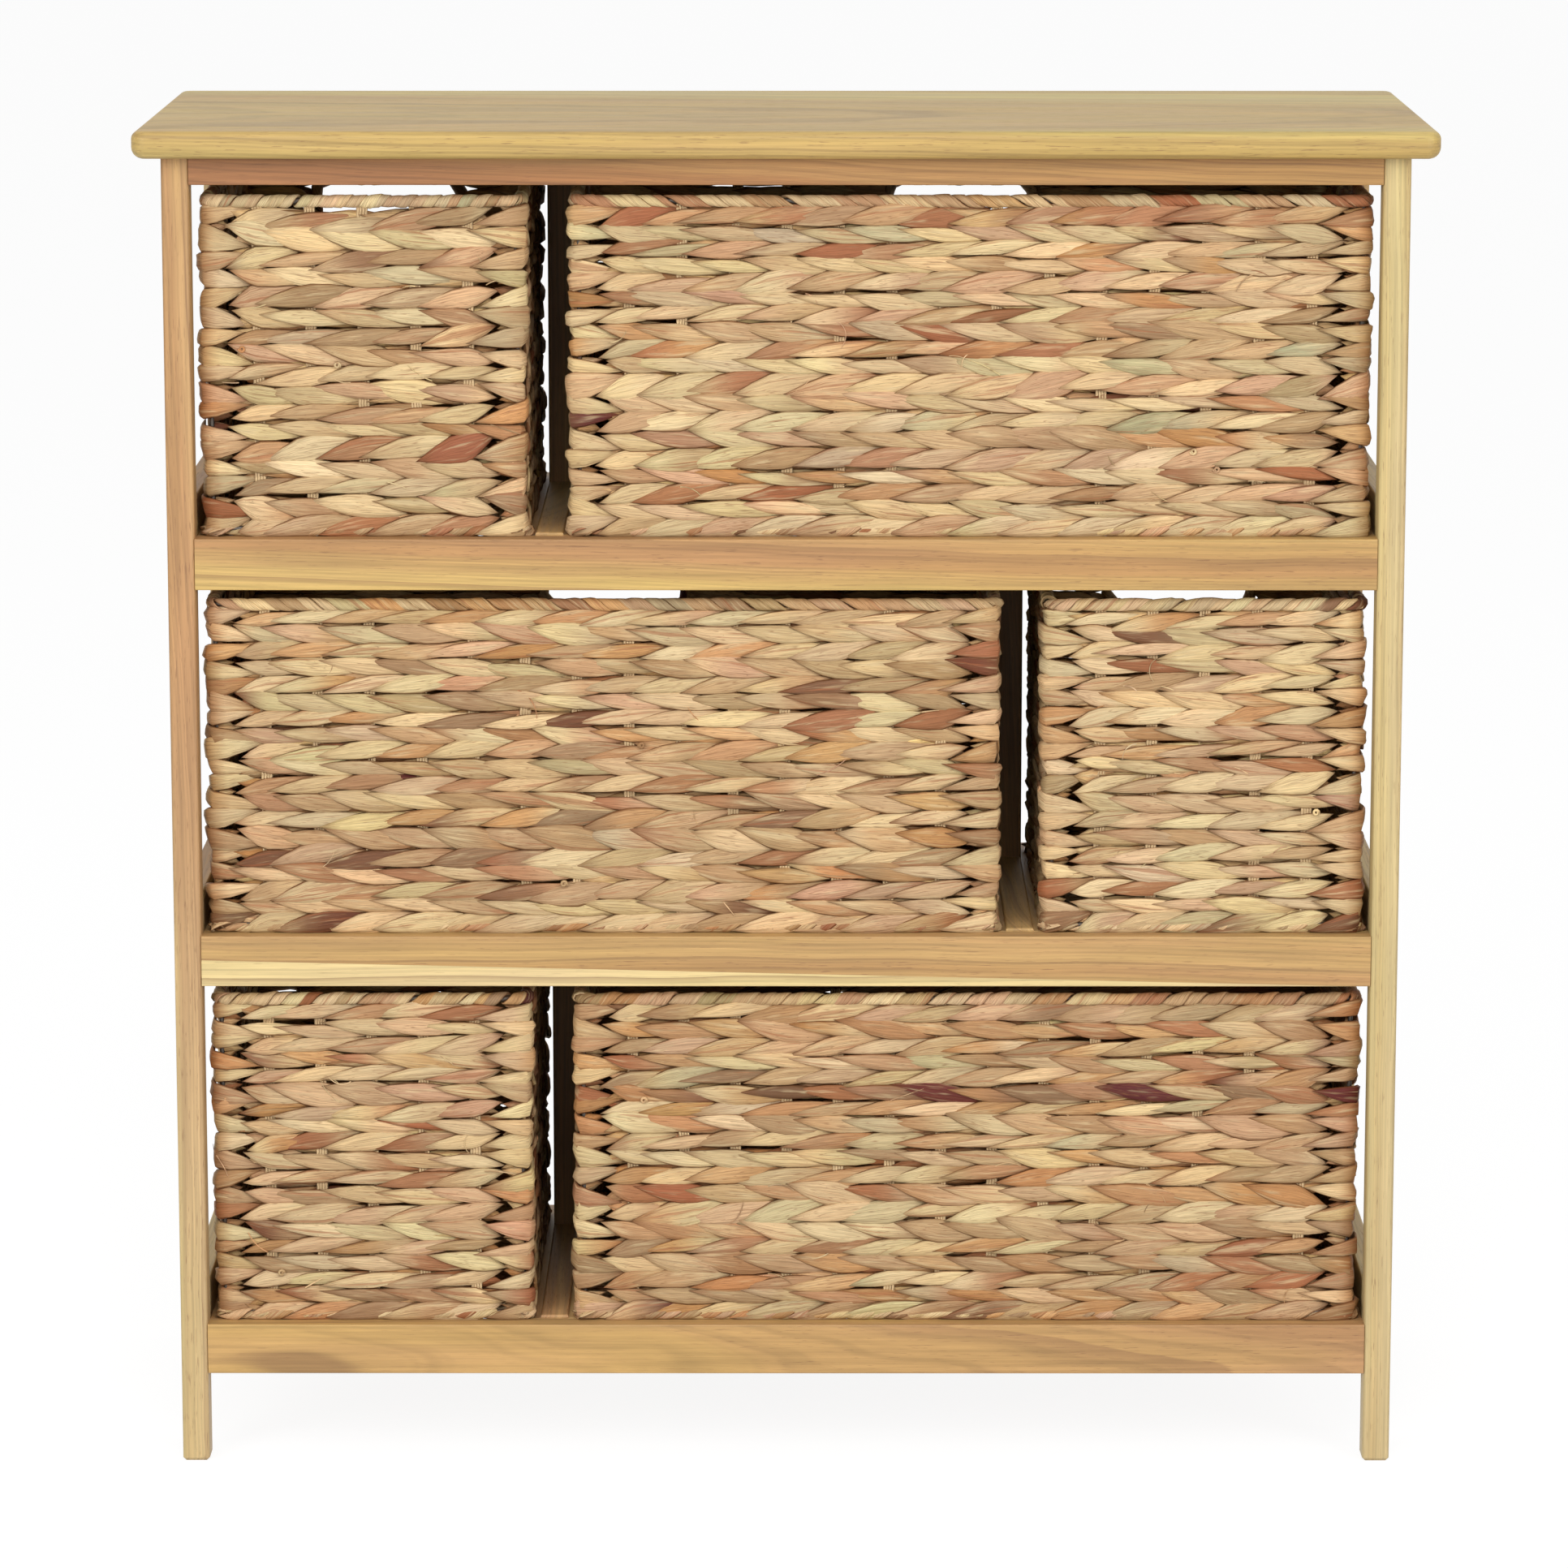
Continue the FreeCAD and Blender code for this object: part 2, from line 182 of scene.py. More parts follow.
def makeStudio():
    half = studio["floorHalf"]
    low = -studio["floorDrop"]
    corners = [(-half, -half, low), (half, -half, low), (half, half, low), (-half, half, low)]
    mesh = bpy.data.meshes.new("studio_floor")
    mesh.from_pydata(corners, [], [(0, 1, 2, 3)])
    floor = bpy.data.objects.new("studio_floor", mesh)
    scene.collection.objects.link(floor)

    material = bpy.data.materials.new("pale_floor")
    material.use_nodes = True
    tree = material.node_tree
    tree.nodes.clear()
    level = studio["floorShade"]
    paper = addNode(tree, "BsdfDiffuse", Color=(level, level, level, 1))
    glow = addNode(tree, "Emission", Strength=studio["floorWhite"])
    surface = addNode(tree, "MixShader", n0=seenDirectly(tree) * studio["floorGlow"], n1=paper, n2=glow)
    surface.feed(tree.nodes.new("ShaderNodeOutputMaterial").inputs["Surface"])
    mesh.materials.append(material)

    world = bpy.data.worlds.new("studio_sky")
    world.use_nodes = True
    scene.world = world
    tree = world.node_tree
    tree.nodes.clear()
    strength = seenDirectly(tree).linear(0.0, 1.0, studio["skyLight"], 1.0)
    sky = addNode(tree, "Background", Color=(1, 1, 1, 1), Strength=strength)
    sky.feed(tree.nodes.new("ShaderNodeOutputWorld").inputs["Surface"])

    for name, (place, size, power) in studio["lamps"].items():
        lamp = bpy.data.lights.new(name, "AREA")
        lamp.shape = "DISK"
        lamp.size = size
        lamp.energy = power
        holder = bpy.data.objects.new(name, lamp)
        holder.location = place
        x, y, z = np.array(studio["aim"]) - np.array(place)
        holder.rotation_euler = (math.atan2(math.hypot(x, y), -z), 0, math.atan2(-x, y))
        scene.collection.objects.link(holder)

    camera = bpy.data.objects.new("camera", bpy.data.cameras.new("camera"))
    camera.data.lens = studio["lensLength"]
    camera.data.sensor_width = 36
    camera.data.clip_end = 200
    camera.location = studio["cameraPlace"]
    camera.rotation_euler = (math.radians(90 - studio["cameraTilt"]), 0, math.radians(studio["cameraTurn"]))
    scene.collection.objects.link(camera)
    scene.camera = camera
    scene.view_settings.view_transform = "Standard"


makeStudio()
print("stage: floor, sky, lamps and camera are set")

# timber
timber = {
    "bandsPerMetre": 34.0,  # broad bands of paler and darker wood
    "heartPerMetre": 17.0,
    "ripple": 0.0012,  # small waves of the grain, in metres
    "fibreShade": 0.24,
    "fineShade": 0.14,
    "poreShade": 0.50,
    "heartLine": 0.20,
    "lineShade": 0.52,  # how dark the late wood at a ring's end is
    "bumpHeight": 0.00022,
    "poreTone": (120, 82, 54),
    "stripTone": (220, 196, 144),  # of the paler strip under the middle front rail
    "yellowTint": (1.00, 1.015, 0.93),
    "pinkTint": (1.00, 0.980, 1.01),
}
# For each look: pale, middle and heart tone and the share of heartwood; then the pith beside the board
# (across, deep), the lean of the pith, how far the grain wanders in metres, rings per metre, and the tone of
# the foot of an upright
timberLooks = {
    "board": ((202, 180, 112), (194, 166, 98), (188, 153, 94), 0.20,
              (0.05, -0.09), (0.04, 0.02), 0.012, 84, None),
    # the top rails' tones are darker: partly their own browner wood, partly painted shade from the board's
    # overhang above
    "topRail": ((178, 135, 83), (165, 118, 72), (150, 100, 62), 0.50,
                (0.03, -0.05), (0.04, 0.04), 0.018, 150, None),
    "upperRail": ((204, 170, 104), (190, 149, 96), (172, 126, 82), 0.44,
                  (0.012, -0.055), (0.02, 0.030), 0.018, 80, None),
    "middleRail": ((196, 160, 102), (184, 143, 92), (168, 124, 80), 0.42,
                   (0.05, -0.08), (0.02, 0.02), 0.014, 96, None),
    "lowerRail": ((194, 155, 98), (186, 143, 98), (176, 128, 88), 0.50,
                  (0.01, -0.05), (-0.03, 0.06), 0.022, 92, None),
    "leftPost": ((208, 176, 118), (192, 152, 102), (176, 130, 88), 0.45,
                 (0.04, -0.03), (0.012, 0.02), 0.014, 90, (208, 186, 136)),
    "rightPost": ((204, 184, 134), (194, 168, 116), (176, 140, 98), 0.26,
                  (0.03, -0.02), (0.015, 0.01), 0.010, 110, None),
    "hidden": ((204, 170, 112), (188, 148, 96), (168, 124, 82), 0.40,
               (0.05, -0.05), (0.03, 0.03), 0.020, 90, None),
}


def makeTimber(name, grainAxis, look, seed, strip=None):
    # Sawn timber. With g along the grain and a, b across it, rings are counted by n, which is
    # r = sqrt((a + pithA + leanA g + stray)^2 + (b + pithB + leanB g + stray)^2) times rings per metre, made
    # uneven by noise. The fraction f of n darkens slowly to 0.96 and then falls back, so each ring ends in a
    # thin line; broad bands and heartwood are noise of r, fibres and pores are noise drawn out along g.
    # strip = (line, slope, tone) is the line along x under which a second, paler strip of timber is glued on.
    pale, middle, heart, heartShare, pith, lean, wander, ringsPerMetre, foot = timberLooks[look]
    material, tree, shader = startMaterial(name, 0.5, 0.45)
    x, y, z = addNode(tree, "TexCoord", 3).parts()
    g, a, b = {"x": (x, y, z), "y": (y, x, z), "z": (z, x, y)}[grainAxis]
    if strip:
        line, slope, tone = strip
        second = (x * slope + line - z).smooth(-0.0002, 0.0002)
        g, b = g + second * 1.7, b + second * 0.043
    g = g + seed * 3.71
    local = addNode(tree, "CombineXYZ", X=g, Y=a, Z=b)

    def drawn(along, across, detail, roughness=0.6, output=0):
        # noise drawn out along the grain
        place = addNode(tree, "Mapping", Vector=local, Scale=(along, across, across))
        return addNode(tree, "TexNoise", output, Vector=place, Scale=1.0, Detail=detail, Roughness=roughness)

    slow = drawn(1.7, 5.0, 3.0, 0.45, 1).parts("Color")
    quick = drawn(15.0, 40.0, 1.0, 0.45, 1).parts("Color")
    ripple = timber["ripple"]
    squares = []
    for part, across in enumerate((a, b)):
        shift = slow[part].linear(0.0, 1.0, -wander, wander)
        wave = quick[part].linear(0.0, 1.0, -ripple, ripple)
        moved = across + pith[part] + (g - seed * 3.71) * lean[part] + (shift + wave)
        squares.append(moved * moved)
    radius = (squares[0] + squares[1]).maths("SQRT") + seed * 0.377

    def ringNoise(scale, detail, roughness=0.5):
        # noise that depends on the distance from the pith alone
        return addNode(tree, "TexNoise", settings={"noise_dimensions": "1D"}, W=radius, Scale=scale,
                       Detail=detail, Roughness=roughness)

    bands = ringNoise(timber["bandsPerMetre"], 3.0, 0.55)
    heartwood = ringNoise(timber["heartPerMetre"], 2.0)
    rings = radius * ringsPerMetre + ringNoise(ringsPerMetre * 0.4, 1.0) * 1.6
    inRing = rings.maths("FRACT")
    ringEnd = inRing.smooth(0.35, 0.96)
    ringEnd = ringEnd * ringEnd * inRing.smooth(0.965, 1.0, 1.0, 0.0)
    ringStrength = addNode(tree, "TexWhiteNoise", settings={"noise_dimensions": "1D"}, W=rings.maths("FLOOR"))
    lines = ringEnd * ringStrength.linear(0.0, 1.0, 0.2, 1.0)
    fine = ringNoise(ringsPerMetre * 6.0, 1.0)
    fibres = drawn(8.0, 430.0, 4.0, 0.65)
    pores = drawn(75.0, 1150.0, 2.0)
    clouds = drawn(7.0, 34.0, 4.0)
    warmth = drawn(2.6, 32.0, 2.0, 0.5)

    band = bands.smooth(0.36, 0.64)
    heartCut = 0.66 - 0.32 * heartShare
    heartMask = heartwood.smooth(heartCut - 0.05, heartCut + 0.05, 0.0, 0.6)
    heartTone = mixOf(band, shade(*middle), shade(*heart))
    colour = mixOf(heartMask, mixOf(band, shade(*pale), shade(*middle)), heartTone)
    # the heartwood's edge is a dark line
    lineTone = shade(*(0.80 * part for part in heart))
    heartEdge = (heartwood - heartCut).maths("ABSOLUTE")
    colour = mixOf(heartEdge.smooth(0.001, 0.007, timber["heartLine"], 0.0), colour, lineTone)
    if strip:
        colour = mixOf(second * 0.92, colour, mixOf(bands.smooth(0.40, 0.8), shade(*tone), shade(*pale)))
    if foot:
        colour = mixOf(z.smooth(0.55, 0.02, 0.0, 0.75), colour, shade(*foot))
    tint = mixOf(warmth.smooth(0.36, 0.64), (*timber["yellowTint"], 1), (*timber["pinkTint"], 1))
    colour = mixOf(1.0, colour, tint, "MULTIPLY")
    colour = mixOf(lines * timber["lineShade"], colour, lineTone)
    grain = fibres.linear(0.25, 0.75, 1.0 - timber["fibreShade"], 1.13) * clouds.linear(0.3, 0.7, 0.91, 1.07)
    colour = darkened(colour, grain * fine.smooth(0.45, 0.66, 1.0, 1.0 - timber["fineShade"]))
    poreMask = pores.smooth(0.60, 0.70, 0.0, timber["poreShade"]) * bands.smooth(0.35, 0.6, 0.35, 1.0)
    colour = mixOf(poreMask, colour, shade(*timber["poreTone"]))
    rough = fibres.linear(0.2, 0.8, 0.40, 0.58) + poreMask * 0.2
    endMaterial(shader, colour, rough, fibres * 0.6 - poreMask, timber["bumpHeight"], 0.5)
    return material


def dress(node, material):
    # the node keeps its mesh, and its slots take the material
    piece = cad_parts[node]
    if not piece.material_slots:
        piece.data.materials.append(material)
    for slot in piece.material_slots:
        slot.material = material


tierNames = ("lower", "middle", "upper")


def dressTimber():
    # grain runs along each piece; its look and seed are its own
    jobs = [("top_board", "x", "board"),
            ("top_front_rail", "x", "topRail"), ("top_rear_rail", "x", "topRail"),
            ("top_left_rail", "y", "hidden"), ("top_right_rail", "y", "hidden"),
            ("front_left_post", "z", "leftPost"), ("front_right_post", "z", "rightPost"),
            ("rear_left_post", "z", "rightPost"), ("rear_right_post", "z", "leftPost")]
    pieces = [("front_rail", "x", None), ("rear_rail", "x", None), ("left_rail", "y", "leftPost"),
              ("right_rail", "y", "rightPost"), ("left_ledge", "y", "hidden"), ("right_ledge", "y", "hidden"),
              ("centre_bearer", "y", "hidden"), ("basket_guide", "y", "hidden"),
              ("rear_divider", "z", "hidden")]
    jobs += [(tier + "_" + piece, axis, look or tier + "Rail")
             for tier in tierNames for piece, axis, look in pieces]
    for seed, (node, axis, look) in enumerate(jobs):
        strip = None
        if node == "middle_front_rail":
            # the joint falls from half the rail's height at its left end to its lower edge at the right
            low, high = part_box(node)
            deep = high[2] - low[2]
            strip = (low[2] + deep * 0.26, -deep * 0.52 / (high[0] - low[0]), timber["stripTone"])
        dress(node, makeTimber(node + "_timber", axis, look, seed + 1, strip))


dressTimber()
print("stage: the timber has its grain")

# dowels, screws and wire
fittings = {
    "dowel": (214, 186, 138),
    "dowelFleck": (170, 126, 82),
    "steel": (150, 148, 144),
    "steelPatch": (120, 114, 102),
    "wire": (88, 82, 76),
    "wirePatch": (96, 66, 46),
}


def makeDowelWood():
    # turned beech: short flecks on a plain ground
    material, tree, shader = startMaterial("dowel_beech", 0.55, 0.4)
    flecks = noiseOf(addNode(tree, "TexCoord", 3), 2.0, 0.6, 900.0)
    wood, dark = shade(*fittings["dowel"]), shade(*fittings["dowelFleck"])
    colour = mixOf(flecks.smooth(0.5, 0.7, 0.0, 0.4), wood, dark)
    endMaterial(shader, colour, None, flecks, 0.0001)
    return material


def makeMetal(name, metal, roughness):
    # drawn or turned metal with duller patches
    material, tree, shader = startMaterial(name, roughness, 0.5)
    shader.inputs["Metallic"].default_value = 1.0
    place = addNode(tree, "TexCoord", 3)
    patches = noiseOf(place, 3.0, 0.6, 160.0)
    bright, dull = shade(*fittings[metal]), shade(*fittings[metal + "Patch"])
    colour = mixOf(patches.smooth(0.48, 0.7, 0.0, 0.5), bright, dull)
    rough = patches.linear(0.3, 0.7, roughness - 0.08, roughness + 0.15)
    endMaterial(shader, colour, rough, noiseOf(place, 1.0, 0.5, 2400.0), 0.00005)
    return material


dress("joint_dowels", makeDowelWood())
screwSteel = makeMetal("screw_zinc", "steel", 0.34)
dress("top_board_screws", screwSteel)
dress("ledge_screws", screwSteel)
wireSteel = makeMetal("frame_wire", "wire", 0.5)
for tier in tierNames:
    for size in ("small", "large"):
        dress(tier + "_" + size + "_basket_wire_frame", wireSteel)
print("stage: dowels, screws and wire are dressed")

# water hyacinth leaf
leafTones = {
    "straw": (218, 188, 140),
    "light": (222, 197, 150),
    "orange": (196, 146, 96),
    "taupe": (184, 149, 108),
    "pink": (202, 162, 124),
    "red": (170, 117, 80),
    "purple": (122, 82, 57),
    "grey": (198, 173, 131),
    "green": (190, 175, 134),
}
# how often each tone turns up, in the order above, for each basket
leafMix = {
    "upper_small_basket": (0.24, 0.12, 0.05, 0.24, 0.09, 0.08, 0.05, 0.12, 0.01),
    "upper_large_basket": (0.29, 0.18, 0.08, 0.14, 0.13, 0.10, 0.02, 0.04, 0.02),
    "middle_large_basket": (0.22, 0.12, 0.10, 0.23, 0.11, 0.12, 0.05, 0.04, 0.01),
    "middle_small_basket": (0.38, 0.33, 0.07, 0.06, 0.08, 0.04, 0.02, 0.02, 0.00),
    "lower_small_basket": (0.33, 0.25, 0.09, 0.11, 0.10, 0.07, 0.03, 0.02, 0.00),
    "lower_large_basket": (0.18, 0.08, 0.14, 0.22, 0.12, 0.16, 0.06, 0.03, 0.01),
}
leaf = {
    "fibreShade": 0.40,
    # painted shade in the grooves of the leaf's pleats
    "pleatShade": 0.34,
    "lineShare": 0.52,
    "lineTone": (136, 92, 58),
    # painted shade at the leaves' edges and tips, where they tuck under their neighbours
    "edgeShadeTone": (116, 68, 34),
    "edgeShadeShare": 0.85,
    "tipShadeShare": 0.55,
    "streakTone": (166, 100, 64),
    "streakShare": 0.55,
    "streakCut": (0.52, 0.80),
    "spotTone": (120, 84, 60),
    "dryTone": (222, 199, 154),
    "bumpHeight": 0.0009,
}


def makeLeafMaterial(name):
    # Dried leaf. leafTone is the colour of the leaf, leafFacts holds its seed, how near the point is to
    # the leaf's edge and how near to its tip, and leafLines counts decimetres along and across it.
    material, tree, shader = startMaterial(name, 0.62, 0.22)
    tone = addNode(tree, "Attribute", settings={"attribute_name": "leafTone"})
    seed, edge, tip = addNode(tree, "Attribute", 1, {"attribute_name": "leafFacts"}).parts()
    along, across, _ = addNode(tree, "UVMap", settings={"uv_map": "leafLines"}).parts()

    def drawn(alongScale, acrossScale, seedScale, detail, roughness, distortion=0.0):
        # noise stretched along the leaf, set apart from that of other leaves
        place = addNode(tree, "CombineXYZ", X=along * alongScale, Y=across * acrossScale, Z=seed * seedScale)
        return noiseOf(place, detail, roughness, 1.0, distortion)

    fibres = drawn(5.0, 210.0, 90.0, 3.0, 0.6)
    pleats = drawn(2.4, 56.0, 130.0, 2.0, 0.5, 0.2)
    streaks = drawn(1.7, 40.0, 170.0, 2.0, 0.55)
    spots = drawn(34.0, 60.0, 50.0, 3.0, 0.6)
    dry = drawn(4.0, 34.0, 210.0, 2.0, 0.5)

    colour = mixOf(dry.smooth(0.52, 0.74, 0.0, 0.5), tone, shade(*leaf["dryTone"]))
    # the share of streaked leaf is each leaf's own, from none to half
    own = (seed * 57.3).maths("FRACT")
    streaked = streaks - own.linear(0.0, 1.0, *leaf["streakCut"])
    streaked = streaked.smooth(0.0, 0.10, 0.0, leaf["streakShare"])
    colour = mixOf(streaked, colour, shade(*leaf["streakTone"]))
    colour = mixOf(spots.smooth(0.66, 0.74, 0.0, 0.5) * (1.0 - own), colour, shade(*leaf["spotTone"]))
    # a thin dark line where the pleat noise crosses its middle, and painted shade in a soft groove where it
    # is low
    crossing = (pleats - 0.5).maths("ABSOLUTE")
    lineTone = shade(*leaf["lineTone"])
    colour = mixOf(crossing.smooth(0.004, 0.026, leaf["lineShare"], 0.0), colour, lineTone)
    colour = mixOf(pleats.smooth(0.30, 0.44, leaf["pleatShade"], 0.0), colour, lineTone)
    colour = darkened(colour, fibres.linear(0.25, 0.75, 1.0 - leaf["fibreShade"], 1.12))
    # painted shade towards the leaf's edges and tips, where it tucks under its neighbours
    edgeShadeShare = edge.smooth(0.84, 1.0, 0.0, leaf["edgeShadeShare"])
    tipShadeShare = tip.smooth(0.52, 1.0, 0.0, leaf["tipShadeShare"])
    colour = mixOf(edgeShadeShare.maths("MAXIMUM", tipShadeShare), colour, shade(*leaf["edgeShadeTone"]))
    rough = fibres.linear(0.2, 0.8, 0.72, 0.54)
    endMaterial(shader, colour, rough, fibres * 0.45 + pleats, leaf["bumpHeight"], 0.8)
    return material


def makeCordMaterial():
    # twisted paper-like cord: slanting strands along leafLines, on the tone of the cord
    material, tree, shader = startMaterial("warp_cord", 0.7, 0.3)
    tone = addNode(tree, "Attribute", settings={"attribute_name": "leafTone"})
    lines = addNode(tree, "UVMap", settings={"uv_map": "leafLines"})
    place = addNode(tree, "Mapping", Vector=lines, Scale=(30.0, 160.0, 1.0), Rotation=(0.0, 0.0, 0.35))
    strands = noiseOf(place, 3.0, 0.6)
    colour = mixOf(strands.smooth(0.35, 0.6, 0.6, 0.0), tone, shade(*basket["cordLineTone"]))
    endMaterial(shader, colour, strands.linear(0.2, 0.8, 0.8, 0.62), strands, 0.0006)
    return material


def makeTubes(name, rings, tips, seeds, along, around, tones, material, nearEdge=None, nearTip=None,
              flip=False):
    # Many closed tubes in one mesh. rings is (tubes, rings, points, 3); each tube ends in a tip at either
    # side. A quad joins points j and j+1 of rings i and i+1; a triangle joins each pair to the tip. along and
    # around count decimetres, tones has one colour for each tube or ring; a tip takes that of its end ring.
    tubes, count, points = rings.shape[:3]
    body = count * points
    perTube = body + 2
    verts = np.concatenate([rings.reshape(tubes, body, 3), tips[0][:, None], tips[1][:, None]], axis=1)
    start = (np.arange(tubes) * perTube)[:, None, None]
    i = np.arange(count - 1)[None, :, None] * points
    j = np.arange(points)[None, None, :]
    following = (j + 1) % points
    quads = np.stack([start + i + j, start + i + following, start + i + points + following,
                      start + i + points + j], axis=-1).reshape(-1, 4)
    last = (count - 1) * points
    capStart = np.stack([start + body + 0 * j, start + following, start + j], axis=-1).reshape(-1, 3)
    capEnd = np.stack([start + body + 1 + 0 * j, start + last + j, start + last + following], axis=-1)
    capEnd = capEnd.reshape(-1, 3)
    if flip:
        quads, capStart, capEnd = quads[:, ::-1], capStart[:, ::-1], capEnd[:, ::-1]
    loops = np.concatenate([quads.ravel(), capStart.ravel(), capEnd.ravel()]).astype(np.int32)
    sizes = np.concatenate([np.full(len(quads), 4), np.full(len(capStart) + len(capEnd), 3)])
    mesh = bpy.data.meshes.new(name)
    mesh.vertices.add(len(verts) * perTube)
    mesh.vertices.foreach_set("co", verts.astype(np.float32).ravel())
    mesh.loops.add(len(loops))
    mesh.loops.foreach_set("vertex_index", loops)
    mesh.polygons.add(len(sizes))
    mesh.polygons.foreach_set("loop_start", np.concatenate([[0], np.cumsum(sizes)[:-1]]).astype(np.int32))
    mesh.update(calc_edges=True)
    mesh.polygons.foreach_set("use_smooth", np.ones(len(sizes), bool))

    facts = np.zeros((tubes, perTube, 3))
    facts[..., 0] = seeds[:, None]
    lines = np.zeros((tubes, perTube, 2))
    lines[:, :body, 0] = np.repeat(along, points, axis=1)
    lines[:, :body, 1] = np.broadcast_to(around, (tubes, count, points)).reshape(tubes, body)
    if nearEdge is not None:
        facts[:, :body, 1] = np.tile(nearEdge, count)
        facts[:, :body, 2] = np.repeat(nearTip, points)
        facts[:, body:, 1:] = 1.0
        lines[:, body, 0] = along[:, 0] - 0.03
        lines[:, body + 1, 0] = along[:, -1] + 0.03
    if tones.ndim == 2:
        tones = np.repeat(tones[:, None], count, axis=1)
    tones = np.concatenate([np.repeat(tones, points, axis=1), tones[:, :1], tones[:, -1:]], axis=1)
    tones = np.concatenate([tones, np.ones((tubes, perTube, 1))], axis=2)
    layer = mesh.uv_layers.new(name="leafLines")
    layer.data.foreach_set("uv", lines.reshape(-1, 2)[loops].astype(np.float32).ravel())
    attribute = mesh.attributes.new("leafTone", "FLOAT_COLOR", "POINT")
    attribute.data.foreach_set("color", tones.astype(np.float32).ravel())
    attribute = mesh.attributes.new("leafFacts", "FLOAT_VECTOR", "POINT")
    attribute.data.foreach_set("vector", facts.astype(np.float32).ravel())
    mesh.materials.append(material)
    piece = bpy.data.objects.new(name, mesh)
    scene.collection.objects.link(piece)
    return piece


def makeLeaves(name, centre, up, out, halfHeight, outThick, inThick, tips, reach, length, tones, rng, flip,
               material, section=(0, 38, 72, 108, 142, 180, 240, 300), ridge=0.16, lowest=None):
    # Leaves as flattened tubes. Point j of ring i is centre + up h cos(q) + out k sin(q)^0.6, where h is the
    # half height and k the outer or inner thickness; each point's k keeps one random factor along the
    # whole leaf, which folds long pleats into it. reach runs from -1 to 1 along the leaf. Nothing goes
    # below the height lowest.
    angle = np.radians(np.array(section, float))
    across = np.cos(angle)
    deep = np.sin(angle)
    folds = 1 + ridge * rng.standard_normal((len(halfHeight), 1, len(section)))
    thick = np.where(deep > 0, outThick[..., None] * np.abs(deep) ** 0.6 * folds, -inThick[..., None] * -deep)
    high = halfHeight[..., None] * np.sign(across) * np.abs(across) ** 0.9
    rings = centre[:, :, None] + up[:, :, None] * high[..., None] + out[:, :, None] * thick[..., None]
    if lowest is not None:
        for places in (rings, *tips):
            places[..., 2] = np.maximum(places[..., 2], lowest)
    widest = halfHeight.max(axis=1)[:, None, None]
    around = 10 * (0.25 * high + 0.75 * widest * across)
    return makeTubes(name, rings, tips, rng.random(len(halfHeight)), 10 * length, around, tones, material,
                     np.abs(across), np.abs(reach), flip)


def wallLengths(wall):
    # distance from one corner's middle to the next, along the front and along a side
    (lowX, lowY), (highX, highY), radius = wall
    arc = math.pi * radius / 2
    return highX - lowX - 2 * radius + arc, highY - lowY - 2 * radius + arc


def alongWall(wall, distance):
    # Place and outward direction at a distance round a rectangle with rounded corners, from the middle of
    # its front left corner along the front. On arc i, of radius r about corner i, the normal's angle is
    # 180 + 90 i + d/r; on the straight after it, the point runs on along (-sin, cos) of that angle.
    (lowX, lowY), (highX, highY), radius = wall
    quarter = math.pi * radius / 2
    pieceLengths = np.array([quarter, highX - lowX - 2 * radius, quarter, highY - lowY - 2 * radius] * 2)
    cuts = np.concatenate([[0], np.cumsum(pieceLengths)])
    travelled = np.mod(distance + quarter / 2, cuts[-1])
    part = np.clip(np.searchsorted(cuts, travelled, side="right") - 1, 0, 7)
    local = travelled - cuts[part]
    corner = part // 2
    onArc = part % 2 == 0
    centres = np.array([(lowX, lowY), (highX, lowY), (highX, highY), (lowX, highY)])
    inward = np.array([(1, 1), (-1, 1), (-1, -1), (1, -1)])
    angle = np.radians(180.0 + 90.0 * corner) + np.where(onArc, local / radius, math.pi / 2)
    normal = np.stack([np.cos(angle), np.sin(angle)], axis=-1)
    tangent = np.stack([-normal[..., 1], normal[..., 0]], axis=-1)
    run = np.where(onArc, 0.0, local)[..., None]
    return (centres + radius * inward)[corner] + radius * normal + run * tangent, normal


def warpPlaces(wall, pitch):
    # Warps round the wall: one at each corner, and between two corners at the pitch, with what is left
    # over shared between the first and the last gap.
    front, side = wallLengths(wall)
    places = []
    start = 0.0
    for length in (front, side, front, side):
        gaps = round(length / (pitch * 1.018))
        end = (length - (gaps - 2) * pitch) / 2
        places.append(start)
        places.extend(start + end + pitch * np.arange(gaps - 1))
        start += length
    return np.array(places), start, np.cumsum([0, front, side, front])


def varied(rng, share, shape):
    # factors about 1, with this share as their spread
    return 1 + share * rng.standard_normal(shape)


def strandTones(shape, weights, rng, change=0.3):
    # Each row is twined from two strands, so every second leaf shares a strand; along a strand the tone
    # holds for a few leaves and then changes. A small shift of brightness and warmth is each leaf's own.
    table = np.array([shade(*tone)[:3] for tone in leafTones.values()])
    rows, leaves = shape
    fresh = rng.random(shape) < change
    runs = np.zeros(shape, int)
    for strand in (0, 1):
        runs[:, strand::2] = np.cumsum(fresh[:, strand::2], axis=1)
    weights = np.array(weights) / np.sum(weights)
    chosen = rng.choice(len(table), size=(rows, 2, leaves + 2), p=weights)
    picked = chosen[np.arange(rows)[:, None], (np.arange(leaves) % 2)[None], runs]
    strength = np.clip(0.86 + 0.22 * rng.standard_normal((rows, leaves, 1)), 0.2, 1.15)
    tones = table[0] + (table[picked] - table[0]) * strength
    tones = tones * varied(rng, 0.10, (rows, leaves, 1))
    tones = tones * varied(rng, 0.03, (rows, leaves, 3))
    return np.clip(tones, 0.02, 0.9)


